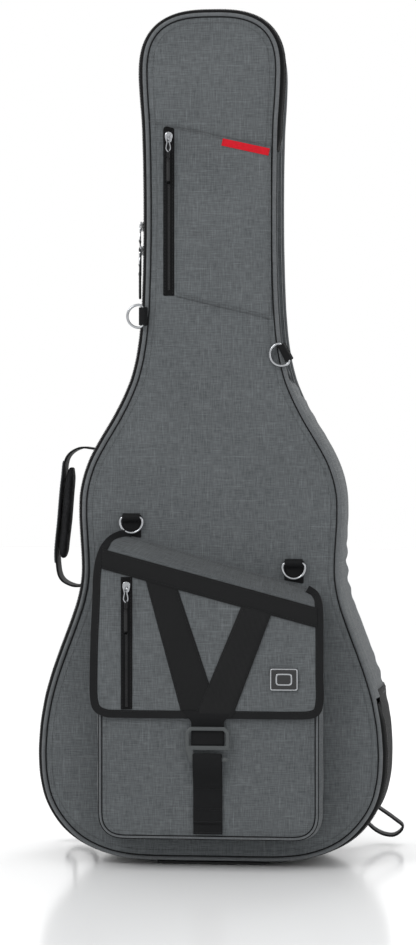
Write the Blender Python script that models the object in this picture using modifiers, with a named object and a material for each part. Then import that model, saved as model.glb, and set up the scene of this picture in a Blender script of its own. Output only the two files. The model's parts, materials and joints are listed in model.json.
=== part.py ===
"""Padded gig bag for an acoustic guitar, standing upright on its base.

Metres, +Z up. The bag's front faces -Y and +X is the viewer's right. The origin is the middle of the
rubber base pad's underside. The back leans forward: the bag is deepest at its base.
"""

import math

import bmesh
import bpy
from mathutils import Matrix, Vector

# Driving sizes of the bag
FRONT_Y = -0.0925
DEPTH_AT_BASE = 0.185
BACK_TAPER = 0.071
BASE_Z = 0.007
GAP = 0.0003
CLOTH = 0.0016
LINING = 0.0012
LID_DEPTH = 0.0195
SEAM_Y = FRONT_Y + 0.0203
ZIP_TAPE = 0.014
PIPING_R = 0.0025
WALL_OUT = 0.003
WALL_IN = -0.0163
LINING_IN = -0.0175
SAMPLES_PER_STRETCH = 2

# Right half of the front panel's edge, from the middle of the head down to the middle of the base
HALF_OUTLINE = [
    (0.0, 1.127), (0.040, 1.1245), (0.070, 1.111), (0.087, 1.086), (0.0915, 1.050),
    (0.0875, 0.980), (0.0855, 0.880), (0.0865, 0.780), (0.091, 0.700), (0.1025, 0.642),
    (0.1275, 0.589), (0.158, 0.537), (0.1715, 0.490), (0.170, 0.430), (0.168, 0.385),
    (0.175, 0.345), (0.197, 0.285), (0.2175, 0.222), (0.2265, 0.150), (0.2195, 0.090),
    (0.197, 0.052), (0.168, 0.027), (0.125, 0.011), (0.080, BASE_Z), (0.0, BASE_Z),
]
ZIP_START_Z = 0.945
ZIP_END_Z = 0.215

# Front pocket, flap and closure
POCKET_HALF = 0.146
POCKET_BOTTOM = 0.040
POCKET_DEPTH = 0.0435
POCKET_CLOTH = 0.0025
SLANT = math.radians(15)
FOLD_POINT = (-0.126, 0.4196)
STRIP_RISE = 0.0185
FLAP_HALF = 0.150
FLAP_BOTTOM = 0.201
FLAP_Y = FRONT_Y - 0.0470
FLAP_CLOTH = 0.003
WEB = 0.0016
WEB_WIDTH = 0.038
HOOK_Y = FLAP_Y - FLAP_CLOTH - 0.0045
HOOK_DEPTH = 0.004
HOOK_TOP = 0.1900

# Colour (linear), roughness and metallic of each finish
GREY_CLOTH = ((0.125, 0.135, 0.142), 0.9, 0.0)
BLACK_CLOTH = ((0.013, 0.014, 0.016), 0.85, 0.0)
BLACK_WEB = ((0.018, 0.019, 0.021), 0.8, 0.0)
FOAM = ((0.05, 0.05, 0.055), 0.95, 0.0)
PLUSH = ((0.16, 0.16, 0.17), 1.0, 0.0)
RUBBER = ((0.015, 0.015, 0.016), 0.7, 0.0)
GUNMETAL = ((0.30, 0.31, 0.32), 0.3, 1.0)
RED_CLOTH = ((0.55, 0.01, 0.03), 0.75, 0.0)
PLASTIC = ((0.02, 0.02, 0.022), 0.45, 0.0)


def clear_scene():
    for obj in list(bpy.data.objects):
        bpy.data.objects.remove(obj, do_unlink=True)
    collection = bpy.data.collections.new("gig_bag")
    bpy.context.scene.collection.children.link(collection)
    return collection


BAG = clear_scene()


def add(name, data, finish):
    """A new object of the bag with a Principled material of its own."""
    colour, roughness, metallic = finish
    obj = bpy.data.objects.new(name, data)
    BAG.objects.link(obj)
    material = bpy.data.materials.new(f"{name}_finish")
    material.use_nodes = True
    shader = material.node_tree.nodes["Principled BSDF"]
    shader.inputs["Base Color"].default_value = (*colour, 1.0)
    shader.inputs["Roughness"].default_value = roughness
    shader.inputs["Metallic"].default_value = metallic
    data.materials.clear()
    data.materials.append(material)
    return obj


def pivot(name, place, pieces, parent=None):
    """An empty on a joint's axis, which the moving pieces hang on without changing place."""
    empty = bpy.data.objects.new(name, None)
    BAG.objects.link(empty)
    empty.empty_display_size = 0.03
    empty.location = place
    if parent is not None:
        empty.parent = parent
        empty.matrix_parent_inverse = Matrix.Translation(parent["place"]).inverted()
    empty["place"] = Vector(place)
    for piece in pieces:
        piece.parent = empty
        piece.matrix_parent_inverse = Matrix.Translation(place).inverted()
    return empty


# Outlines -----------------------------------------------------------------------------------


def smooth_path(points, samples, before=None, after=None):
    """Points on a centripetal Catmull-Rom curve through the given ones."""
    ends = [before or points[0], *points, after or points[-1]]
    knots = [Vector(point) for point in ends]
    if before is None:
        knots[0] = knots[1] * 2 - knots[2]
    if after is None:
        knots[-1] = knots[-2] * 2 - knots[-3]
    path = []
    for a, b, c, d in zip(knots, knots[1:], knots[2:], knots[3:]):
        t1 = (b - a).length ** 0.5
        t2 = t1 + (c - b).length ** 0.5
        t3 = t2 + (d - c).length ** 0.5
        for step in range(samples):
            t = t1 + (t2 - t1) * step / samples
            low = a.lerp(b, t / t1)
            mid = b.lerp(c, (t - t1) / (t2 - t1))
            high = c.lerp(d, (t - t2) / (t3 - t2))
            low_mid = low.lerp(mid, t / t2)
            mid_high = mid.lerp(high, (t - t1) / (t3 - t1))
            path.append(low_mid.lerp(mid_high, (t - t1) / (t2 - t1)))
    return path + [knots[-2]]


def bag_outline():
    """The whole edge of the front panel, clockwise from the middle of the head."""
    top, bottom = HALF_OUTLINE[1], HALF_OUTLINE[-2]
    right = smooth_path(
        HALF_OUTLINE, SAMPLES_PER_STRETCH, before=(-top[0], top[1]), after=(-bottom[0], bottom[1])
    )
    right = [Vector((point.x, max(point.y, BASE_Z))) for point in right]
    left = [Vector((-point.x, point.y)) for point in reversed(right[1:-1])]
    return right + left


OUTLINE = bag_outline()


def offset(points, distance, closed=True):
    """The path moved sideways to its left, which is outwards on a clockwise outline."""
    moved = []
    last = len(points) - 1
    for index, point in enumerate(points):
        here = index if closed else max(index, 1)
        onward = index + 1 if closed else min(index + 1, last)
        in_edge = (points[here] - points[here - 1]).normalized()
        out_edge = (points[onward % len(points)] - points[onward - 1]).normalized()
        normal = (in_edge.orthogonal() + out_edge.orthogonal()).normalized()
        moved.append(point + normal * (distance / normal.dot(out_edge.orthogonal())))
    return moved


def station(side, height):
    """Index of the outline point on one side (+1 right, -1 left) nearest a height."""
    near = [i for i, point in enumerate(OUTLINE) if point.x * side > 0.01 and 0.01 < point.y < 1.12]
    return min(near, key=lambda i: abs(OUTLINE[i].y - height))


def stretch(start, end):
    """Outline indices clockwise from one station to another."""
    count = len(OUTLINE)
    return [(start + step) % count for step in range((end - start) % count + 1)]


def band(indices, outer, inner):
    """Closed outline of a strip that follows part of the bag's edge, short of its ends by the gap."""
    sides = []
    for distance in (outer, inner):
        whole = offset(OUTLINE, distance)
        side = [whole[i].copy() for i in indices]
        side[0] += (side[1] - side[0]).normalized() * GAP
        side[-1] += (side[-2] - side[-1]).normalized() * GAP
        sides.append(side)
    return sides[0] + sides[1][::-1]


def rounded(corners, radii, steps=4):
    """A polygon with its corners turned into arcs."""
    points = []
    count = len(corners)
    for index, radius in enumerate(radii):
        corner = Vector(corners[index])
        if radius == 0:
            points.append(corner)
            continue
        before = (Vector(corners[index - 1]) - corner).normalized()
        after = (Vector(corners[(index + 1) % count]) - corner).normalized()
        half = before.angle(after) / 2
        centre = corner + (before + after).normalized() * (radius / math.sin(half))
        start = corner + before * (radius / math.tan(half)) - centre
        turn = (math.pi - 2 * half) * (1 if before.cross(after) < 0 else -1)
        for step in range(steps + 1):
            points.append(centre + Matrix.Rotation(turn * step / steps, 2) @ start)
    return points


def ribbon(points, thickness):
    """Closed outline of a strip of even thickness along an open path."""
    path = [Vector(point) for point in points]
    half = thickness / 2
    return offset(path, half, closed=False) + offset(path, -half, closed=False)[::-1]


# Solids -------------------------------------------------------------------------------------

UPRIGHT = Matrix.Rotation(math.radians(90), 4, "X")
FLAT = Matrix.Identity(4)
SIDEWAYS = Matrix(((0, 0, 1, 0), (1, 0, 0, 0), (0, 1, 0, 0), (0, 0, 0, 1)))


def prism_mesh(name, outlines, low, high, turn):
    """Mesh of flat outlines given thickness from low to high, across the plane they lie in."""
    curve = bpy.data.curves.new(name, "CURVE")
    curve.dimensions = "2D"
    curve.fill_mode = "BOTH"
    curve.extrude = (high - low) / 2
    for outline in outlines:
        spline = curve.splines.new("POLY")
        spline.points.add(len(outline) - 1)
        spline.use_cyclic_u = True
        for point, place in zip(spline.points, outline):
            point.co = (place[0], place[1], 0, 1)
    guide = bpy.data.objects.new(name, curve)
    BAG.objects.link(guide)
    bpy.context.view_layer.update()
    graph = bpy.context.evaluated_depsgraph_get()
    mesh = bpy.data.meshes.new_from_object(guide.evaluated_get(graph))
    bpy.data.objects.remove(guide, do_unlink=True)
    bpy.data.curves.remove(curve)
    middle = (low + high) / 2 * (-1 if turn is UPRIGHT else 1)
    mesh.transform(turn @ Matrix.Translation((0, 0, middle)))
    tidy = bmesh.new()
    tidy.from_mesh(mesh)
    bmesh.ops.remove_doubles(tidy, verts=tidy.verts, dist=0.00005)
    bmesh.ops.recalc_face_normals(tidy, faces=tidy.faces)
    tidy.to_mesh(mesh)
    tidy.free()
    return mesh


def prism(name, outlines, low, high, finish, turn=UPRIGHT):
    return add(name, prism_mesh(name, outlines, low, high, turn), finish)


def lean_back(obj, everything=False):
    """Slopes the rear of a solid, or all of it, parallel to the leaning back of the bag."""
    middle = sum(v.co.y for v in obj.data.vertices) / len(obj.data.vertices)
    for vertex in obj.data.vertices:
        if everything or vertex.co.y > middle:
            vertex.co.y -= BACK_TAPER * vertex.co.z
    return obj


def back_y(height):
    """Where the outside of the back is, at a height."""
    return FRONT_Y + DEPTH_AT_BASE - BACK_TAPER * height


def block(name, low, high, finish, bevel=0.0):
    """A box between two corners, with its edges rounded if asked."""
    mesh = bpy.data.meshes.new(name)
    solid = bmesh.new()
    bmesh.ops.create_cube(solid, size=1.0)
    low, high = Vector(low), Vector(high)
    bmesh.ops.scale(solid, vec=high - low, verts=solid.verts)
    bmesh.ops.translate(solid, vec=(low + high) / 2, verts=solid.verts)
    solid.to_mesh(mesh)
    solid.free()
    obj = add(name, mesh, finish)
    if bevel:
        modifier = obj.modifiers.new("soft_edges", "BEVEL")
        modifier.width = bevel
        modifier.segments = 2
    return obj


def tube(name, points, radius, finish, closed=False, resolution=1):
    """A round cord or wire along a path."""
    curve = bpy.data.curves.new(name, "CURVE")
    curve.dimensions = "3D"
    curve.bevel_depth = radius
    curve.bevel_resolution = resolution
    curve.use_fill_caps = not closed
    spline = curve.splines.new("POLY")
    spline.points.add(len(points) - 1)
    spline.use_cyclic_u = closed
    for point, place in zip(spline.points, points):
        point.co = (*place, 1)
    return add(name, curve, finish)


def turned(obj, matrix):
    """Applies a turn or move to the mesh of a solid."""
    obj.data.transform(matrix)
    return obj


# The padded shell ---------------------------------------------------------------------------

RIGHT_NECK = station(1, ZIP_START_Z)
RIGHT_LOW = station(1, ZIP_END_Z)
LEFT_LOW = station(-1, ZIP_END_Z)
HEAD = 0
BASE = len(OUTLINE) // 2


def make_back():
    end = FRONT_Y + DEPTH_AT_BASE
    foam_front = end - CLOTH - 0.0165
    inside = offset(OUTLINE, LINING_IN - GAP)
    pieces = [
        prism("back_cloth", [offset(OUTLINE, WALL_OUT)], end - CLOTH, end, GREY_CLOTH),
        prism("back_foam", [inside], foam_front, end - CLOTH - GAP, FOAM),
        prism("back_lining", [inside], foam_front - GAP - LINING, foam_front - GAP, PLUSH),
    ]
    for piece in pieces:
        lean_back(piece, everything=True)


def make_walls():
    """The side walls as cloth outside, foam and a plush lining, from the zip's seam to the back."""
    rear = FRONT_Y + DEPTH_AT_BASE - CLOTH - GAP
    skin = WALL_OUT - CLOTH
    behind_tape = SEAM_Y + ZIP_TAPE + GAP
    cloths = [
        ("wall_cloth_zip_side", stretch(LEFT_LOW, RIGHT_NECK), behind_tape, GREY_CLOTH),
        ("wall_cloth_hinge_side", stretch(RIGHT_NECK, RIGHT_LOW), SEAM_Y, GREY_CLOTH),
        ("base_guard", stretch(RIGHT_LOW, LEFT_LOW), behind_tape, BLACK_CLOTH),
    ]
    for name, indices, front, finish in cloths:
        lean_back(prism(name, [band(indices, WALL_OUT, skin)], front, rear, finish))
    foams = [("wall_foam_right", stretch(HEAD, BASE)), ("wall_foam_left", stretch(BASE, HEAD))]
    for name, indices in foams:
        lean_back(prism(name, [band(indices, skin - GAP, WALL_IN)], SEAM_Y, rear, FOAM))
    rings = [offset(OUTLINE, WALL_IN - GAP), offset(OUTLINE, LINING_IN)]
    lean_back(prism("wall_lining", rings, SEAM_Y, rear, PLUSH))
    tape = band(stretch(RIGHT_LOW, RIGHT_NECK), WALL_OUT, skin)
    prism("main_zip_shell_tape", [tape], SEAM_Y, SEAM_Y + ZIP_TAPE, BLACK_WEB)


def make_base_pad():
    """The flat rubber pad that the bag stands on."""
    outline = rounded([(-0.074, -0.080), (-0.074, 0.080), (0.074, 0.080), (0.074, -0.080)], [0.012] * 4)
    prism("base_pad", [outline], 0.0, BASE_Z - WALL_OUT - GAP, RUBBER, turn=FLAT)


def make_cradle():
    """The foam block that holds the guitar's neck, and the strap across it."""
    low, high = 0.775, 0.825
    front, rear = FRONT_Y + 0.0245, back_y(high) - 0.0205
    half, notch, notch_rear = 0.066, 0.030, front + 0.055
    bow = [
        (notch * math.cos(a), notch_rear - notch + notch * math.sin(a))
        for a in (math.radians(180 * step / 8) for step in range(9))
    ]
    outline = [(half, front), (half, rear), (-half, rear), (-half, front), (-notch, front)]
    outline += bow[::-1] + [(notch, front)]
    prism("neck_cradle", [outline], low, high, PLUSH, turn=FLAT)
    block("neck_strap", (-0.052, front - 0.0028, 0.788), (0.052, front - GAP, 0.812), BLACK_WEB)


def make_end_pin_pad():
    """The thick pad in the base, under the guitar's end pin."""
    floor = BASE_Z - LINING_IN + GAP
    low, high = (-0.060, FRONT_Y + 0.030, floor), (0.060, FRONT_Y + 0.150, floor + 0.012)
    block("end_pin_pad", low, high, PLUSH, 0.003)


def make_back_pad():
    """The padded cushion on the back, where the bag rests on the wearer."""
    corners = [(-0.130, 0.140), (-0.100, 0.560), (0.100, 0.560), (0.130, 0.140)]
    start = FRONT_Y + DEPTH_AT_BASE + GAP
    outline = rounded(corners, [0.030, 0.025, 0.025, 0.030])
    lean_back(prism("back_pad", [outline], start, start + 0.010, BLACK_CLOTH), everything=True)


# Zip sliders --------------------------------------------------------------------------------


def make_main_slider(name, height, pull_length, pull_y):
    """A slider on the outside of the left wall, and the corded grip that hangs from it."""
    edge = min(OUTLINE, key=lambda p: abs(p.y - height) + (1.0 if p.x > 0 else 0.0)).x
    inner = edge - WALL_OUT - 0.0008
    outer = inner - 0.0045
    middle = SEAM_Y
    foot, head = (outer, middle - 0.005, height - 0.007), (inner, middle + 0.005, height + 0.007)
    slider = block(f"{name}_slider", foot, head, GUNMETAL, 0.001)
    hang = outer - 0.0013
    low = height - 0.005 - pull_length
    pull = block(
        f"{name}_pull", (hang - 0.004, pull_y - 0.0025, low), (hang, pull_y + 0.0025, height - 0.003),
        RUBBER, 0.001,
    )
    return slider, pull, Vector((hang - 0.002, pull_y, height - 0.005))


def make_main_sliders():
    for name, height, length, pull_y in (
        ("main_zip_upper", 0.846, 0.062, SEAM_Y - 0.0045),
        ("main_zip_lower", 0.814, 0.060, SEAM_Y + 0.0045),
    ):
        slider, pull, hinge = make_main_slider(name, height, length, pull_y)
        slide = pivot(f"{name}_slide", (hinge.x, SEAM_Y, height), [slider])
        pivot(f"{name}_pull_swing", hinge, [pull], parent=slide)


def make_front_slider(name, x, y, z, length):
    """A slider on a flat front panel, and its hanging pull."""
    slider = block(
        f"{name}_slider", (x - 0.005, y - 0.0045, z - 0.007), (x + 0.005, y - GAP, z + 0.007), GUNMETAL, 0.001
    )
    face = y - 0.0058
    pull = block(
        f"{name}_pull", (x - 0.003, face - 0.004, z - 0.005 - length), (x + 0.003, face, z - 0.003),
        RUBBER, 0.001,
    )
    return slider, pull, Vector((x, face - 0.002, z - 0.005))


# The side handle and the shoulder straps ----------------------------------------------------

HANDLE_TOP = (-0.1640, 0.5500)
HANDLE_LOW = (-0.1820, 0.3640)
HANDLE_Y = 0.0
GRIP = 0.012


def make_side_handle():
    """The padded carrying handle on the left wall, and the webbing on the wall that holds its ends."""
    path = smooth_path(
        [HANDLE_TOP, (-0.186, 0.5515), (-0.203, 0.540), (-0.2085, 0.510), (-0.2135, 0.455),
         (-0.2175, 0.400), (-0.2120, 0.374), (-0.196, 0.3645), HANDLE_LOW],
        3,
    )
    half = 0.019
    webbing = prism("side_handle_webbing", [ribbon(path, 0.003)], HANDLE_Y - half, HANDLE_Y + half, BLACK_WEB)
    grip_path = [point for point in offset(path, GRIP / 2 + 0.002, closed=False) if 0.395 < point.y < 0.530]
    narrow = half - 0.001
    grip = prism(
        "side_handle_grip", [ribbon(grip_path, GRIP)], HANDLE_Y - narrow, HANDLE_Y + narrow, BLACK_CLOTH
    )
    on_wall = stretch(station(-1, HANDLE_LOW[1] - 0.020), station(-1, HANDLE_TOP[1] + 0.020))
    patch = band(on_wall, WALL_OUT + GAP + 0.002, WALL_OUT + GAP)
    prism("side_handle_patch", [patch], HANDLE_Y - half, HANDLE_Y + half, BLACK_WEB)
    middle = ((HANDLE_TOP[0] + HANDLE_LOW[0]) / 2, HANDLE_Y, (HANDLE_TOP[1] + HANDLE_LOW[1]) / 2)
    pivot("side_handle_swing", middle, [webbing, grip])


STRAP_TOP = (0.045, 0.730)
STRAP_LOW = (0.196, 0.082)
STRAP_REACH = {1: 0.2500, -1: 0.2220}
STRAP_STAND_OFF = 0.024


def make_shoulder_strap(side, word):
    """A padded shoulder strap, its ladder buckle and its slack webbing, behind the back."""
    top = Vector((side * STRAP_TOP[0], STRAP_TOP[1]))
    low = Vector((side * STRAP_LOW[0], STRAP_LOW[1]))
    reach = STRAP_REACH[side]
    centre = smooth_path([top + Vector((side * 0.004, -0.020)), (side * 0.084, 0.600), (side * 0.104, 0.480),
                          (side * 0.112, 0.375)], 4)
    left, right = offset(centre, 0.031, closed=False), offset(centre, -0.031, closed=False)
    start = FRONT_Y + DEPTH_AT_BASE + STRAP_STAND_OFF
    pad = prism(f"shoulder_pad_{word}", [left + right[::-1]], start, start + 0.012, BLACK_CLOTH)
    lean_back(pad, everything=True)
    y = back_y(0.36) + STRAP_STAND_OFF
    buckle = block(
        f"strap_buckle_{word}", (side * 0.114 - 0.022, y, 0.334), (side * 0.114 + 0.022, y + 0.008, 0.368),
        PLASTIC, 0.002,
    )
    slack = smooth_path(
        [(side * 0.117, 0.330), (side * 0.140, 0.200), (side * 0.172, 0.075), (side * (reach - 0.038), 0.020),
         (side * (reach - 0.012), 0.0135), (side * reach, 0.025), (side * (reach - 0.012), 0.036),
         (side * (STRAP_LOW[0] + 0.014), 0.056), (side * STRAP_LOW[0], 0.070)],
        3,
    )
    inner, outer = back_y(0) + 0.0045, back_y(0) + 0.0295
    webbing = prism(f"strap_webbing_{word}", [ribbon(slack, 0.003)], inner, outer, BLACK_WEB)
    middle = (top + low) / 2
    place = (middle.x, back_y(middle.y) + STRAP_STAND_OFF / 2, middle.y)
    pivot(f"strap_{word}_swing", place, [pad, buckle, webbing])


def make_strap_anchors():
    """The stitched yoke at the top of the straps, and the webbing across the back at their lower ends."""
    yoke = rounded([(-0.080, 0.712), (-0.060, 0.800), (0.060, 0.800), (0.080, 0.712)], [0.010] * 4)
    start = FRONT_Y + DEPTH_AT_BASE + GAP
    lean_back(prism("strap_yoke", [yoke], start, start + 0.006, BLACK_CLOTH), everything=True)
    across = [(-0.207, 0.070), (-0.207, 0.108), (0.207, 0.108), (0.207, 0.070)]
    lean_back(prism("strap_base_webbing", [across], start, start + 0.003, BLACK_WEB), everything=True)


# The lid ------------------------------------------------------------------------------------

LID_EDGE = -2 * PIPING_R - GAP


def make_lid():
    """The front panel: cloth, foam and lining, with a corded edge and its half of the zip."""
    face = offset(OUTLINE, LID_EDGE)
    foam_rear = FRONT_Y + LID_DEPTH - LINING - GAP
    rim = LID_EDGE + GAP
    rim_front = FRONT_Y + 2 * PIPING_R + GAP
    rear = FRONT_Y + LID_DEPTH
    cord = [(p.x, FRONT_Y + PIPING_R, p.y) for p in offset(OUTLINE, -PIPING_R)]
    zipped = band(stretch(RIGHT_LOW, RIGHT_NECK), 0.0, rim)
    hinged = band(stretch(RIGHT_NECK, RIGHT_LOW), 0.0, rim)
    return [
        prism("lid_cloth", [face], FRONT_Y, FRONT_Y + CLOTH, GREY_CLOTH),
        prism("lid_foam", [face], FRONT_Y + CLOTH + GAP, foam_rear, FOAM),
        prism("lid_lining", [face], foam_rear + GAP, rear, PLUSH),
        tube("lid_piping", cord, PIPING_R, GREY_CLOTH, closed=True),
        prism("main_zip_lid_tape", [zipped], rim_front, rear, BLACK_WEB),
        prism("lid_hinge_cloth", [hinged], rim_front, rear, GREY_CLOTH),
    ]


def make_neck_pocket():
    """The flat zipped pocket on the neck, and the small red tag in its upper seam."""
    front = FRONT_Y - 0.002
    panel = [(-0.0485, 0.977), (0.0790, 0.949), (0.0790, 0.722), (-0.0485, 0.753)]
    pieces = [
        prism("neck_pocket_panel", [panel], front, FRONT_Y - GAP, GREY_CLOTH),
        block("neck_pocket_zip_tape", (-0.0627, front, 0.753), (-0.0490, FRONT_Y - GAP, 0.978), BLACK_WEB),
    ]
    tag = [(0.0160, 0.9600), (0.0780, 0.9460), (0.0760, 0.9366), (0.0140, 0.9506)]
    pieces.append(prism("neck_tag", [tag], front - 0.0012, front - GAP, RED_CLOTH))
    slider, pull, hinge = make_front_slider("neck_pocket", -0.0558, front, 0.962, 0.060)
    return pieces, slider, pull, hinge


# A D-ring: the middle of its straight bar, the way its bow hangs, and the way its bar runs
RING_HALF = 0.015
RING_WIRE = 0.002
RINGS = {
    "upper_left": ((-0.0905, FRONT_Y - 0.0035, 0.726), (-1, 0, 0)),
    "upper_right": ((0.0945, FRONT_Y - 0.0045, 0.6745), (-0.88, 0, -0.47)),
    "lower_left": ((-0.1055, FRONT_Y - 0.0045, 0.4600), (0, 0, -1)),
    "lower_right": ((0.1095, FRONT_Y - 0.0045, 0.4005), (0, 0, -1)),
}


def make_rings():
    """Four D-rings and their webbing tabs: folded over the lid's edge, or lying behind a ring that hangs."""
    tabs = []
    rings = []
    for name, (place, bow) in RINGS.items():
        centre, out = Vector(place), Vector(bow).normalized()
        along = out.cross(Vector((0, 1, 0)))
        arc = [centre - along * RING_HALF, centre + along * RING_HALF]
        for step in range(9):
            angle = math.radians(180 * step / 8)
            reach = 0.005 + math.sin(angle) * RING_HALF
            arc.append(centre + along * (math.cos(angle) * RING_HALF) + out * reach)
        ring = tube(f"ring_{name}", arc, RING_WIRE, GUNMETAL, closed=True)
        rings.append((f"ring_{name}", ring, place, along))
        behind = abs(out.z) > 0.9
        low = (-0.0125, 0.0015, -0.0190) if behind else (-0.0125, -0.0015, 0.0026)
        high = (0.0125, 0.0032, 0.0060) if behind else (0.0125, 0.0015, 0.0120)
        tab = block(f"ring_tab_{name}", low, high, BLACK_WEB)
        turn = Matrix((along, (0, 1, 0), -out)).transposed().to_4x4()
        tabs.append(turned(tab, Matrix.Translation(centre + Vector((0, 0.0010, 0))) @ turn))
    return tabs, rings


# Front pocket -------------------------------------------------------------------------------


def fold_height(x):
    """Height of the slanting fold between the flap's top strip and its front, at x."""
    return FOLD_POINT[1] - (x - FOLD_POINT[0]) * math.tan(SLANT)


def make_front_pocket():
    """The box pocket: a cloth wall round three sides, and its face."""
    top_left = (-POCKET_HALF, fold_height(-POCKET_HALF) - 0.010)
    top_right = (POCKET_HALF, fold_height(POCKET_HALF) - 0.010)
    bottom = [(POCKET_HALF, POCKET_BOTTOM), (-POCKET_HALF, POCKET_BOTTOM)]
    outline = rounded([top_left, top_right, *bottom], [0, 0, 0.030, 0.030])
    wall_path = outline[1:] + outline[:1]
    wall_path = offset(wall_path, -POCKET_CLOTH / 2, closed=False)
    front = FRONT_Y - POCKET_DEPTH
    face_rear = front + POCKET_CLOTH
    wall = prism("pocket_wall", [ribbon(wall_path, POCKET_CLOTH)], face_rear + GAP, FRONT_Y - GAP, GREY_CLOTH)
    face = prism("pocket_face", [outline], front, face_rear, GREY_CLOTH)
    return [wall, face]


def make_closure_webbing():
    """The webbing down the pocket's face, whose top is a loop round the hook's lower bar."""
    face = FRONT_Y - POCKET_DEPTH - GAP
    bar_low, bar_high = 0.1440, 0.1520
    bar_front, bar_rear = HOOK_Y - 0.0008, HOOK_Y + HOOK_DEPTH + 0.0008
    outer = [
        (face, 0.049), (face, bar_high + 0.002), (bar_rear, bar_high + 0.0035),
        (bar_front - WEB, bar_high + 0.002),
        (bar_front - WEB, 0.128), (face - 2.4 * WEB, 0.112), (face - WEB, 0.108), (face - WEB, 0.049),
    ]
    hole = [
        (face - WEB, 0.120), (face - WEB, bar_high), (bar_front, bar_high), (bar_front, bar_low - 0.012),
    ]
    return prism("closure_webbing", [outer, hole], -WEB_WIDTH / 2, WEB_WIDTH / 2, BLACK_WEB, turn=SIDEWAYS)


# Flap ---------------------------------------------------------------------------------------


def slanted(piece):
    """Turns a solid made along X to follow the flap's slanting fold."""
    start = Matrix.Translation((FOLD_POINT[0], 0, FOLD_POINT[1]))
    return turned(piece, start @ Matrix.Rotation(SLANT, 4, "Y"))


def make_flap_strip():
    """The top strip of the flap, from the seam on the lid forward and down to the fold."""
    rear, front = FRONT_Y - 0.0010, FLAP_Y - 0.0006
    thick = 0.0025
    profile = [
        (rear, STRIP_RISE), (rear, STRIP_RISE - thick), (front + 0.0015, 0.0010), (front, 0.0010),
        (front, 0.0035),
    ]
    length = (FLAP_HALF - FOLD_POINT[0] - 0.016) / math.cos(SLANT)
    return slanted(prism("flap_strip", [profile], 0.004, length, GREY_CLOTH, turn=SIDEWAYS))


def make_flap_panel():
    """The front of the flap, which hangs from the fold."""
    corners = [
        (-FLAP_HALF, FLAP_BOTTOM), (-FLAP_HALF, fold_height(-FLAP_HALF)),
        (FLAP_HALF, fold_height(FLAP_HALF)), (FLAP_HALF, FLAP_BOTTOM),
    ]
    outline = rounded(corners, [0.022, 0.024, 0.004, 0.020])
    return prism("flap_panel", [outline], FLAP_Y - FLAP_CLOTH, FLAP_Y, GREY_CLOTH)


def make_flap_webbing():
    """The diagonal band along the fold, and the V of webbing that runs down to the hook."""
    front = FLAP_Y - FLAP_CLOTH - GAP
    drop = 0.0255 / math.cos(SLANT)
    left, right = -0.138, 0.142
    top = [(x, fold_height(x) - 0.002) for x in (left, right)]
    under = [(x, fold_height(x) - drop) for x in (right, 0.084)]
    tail = [(0.034, 0.208), (0.025, 0.1915), (-0.025, 0.1915), (-0.034, 0.208)]
    under_left = [(x, fold_height(x) - drop) for x in (-0.082, left)]
    between = [(-0.040, fold_height(-0.040) - drop), (0.0015, 0.2346), (0.045, fold_height(0.045) - drop)]
    return prism("flap_webbing", [top + under + tail + under_left, between], front - WEB, front, BLACK_WEB)


def make_flap_zip():
    front = FLAP_Y - FLAP_CLOTH - GAP
    tape = block("flap_zip_tape", (-0.1135, front - WEB, 0.2115), (-0.0985, front, 0.3840), BLACK_WEB)
    slider, pull, hinge = make_front_slider("flap", -0.1060, front - WEB, 0.371, 0.056)
    return tape, slider, pull, hinge


def make_badge():
    """A plain metal plate with a recessed middle."""
    front = FLAP_Y - FLAP_CLOTH - GAP
    corners = [(0.0812, 0.2380), (0.0812, 0.2666), (0.1177, 0.2666), (0.1177, 0.2380)]
    outline = rounded(corners, [0.003] * 4, 2)
    return prism("badge_plate", [outline], front - 0.003, front, GUNMETAL)


def make_hook():
    """The G-shaped hook: a closed slot for the flap's webbing above, and an open one for the loop below."""
    half, bar = 0.0286, 0.0065
    outer = [
        (-half, HOOK_TOP), (half, HOOK_TOP), (half, 0.1590), (-half + bar, 0.1590), (-half + bar, 0.1515),
        (0.0225, 0.1515), (0.0225, 0.1450), (-half, 0.1450),
    ]
    slot = [(-0.0220, 0.1820), (0.0220, 0.1820), (0.0220, 0.1660), (-0.0220, 0.1660)]
    return prism(
        "hook_buckle", [rounded(outer, [0.005, 0.005, 0.004, 0, 0, 0.002, 0.002, 0.005], 3), slot],
        HOOK_Y, HOOK_Y + HOOK_DEPTH, GUNMETAL,
    )


# The lid's hinge line runs just outside the whole right edge, so that no part of the lid turns into the shell
LID_AXIS_TOP = (0.0945, 1.050)
LID_AXIS_LOW = (0.2295, 0.150)


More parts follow.
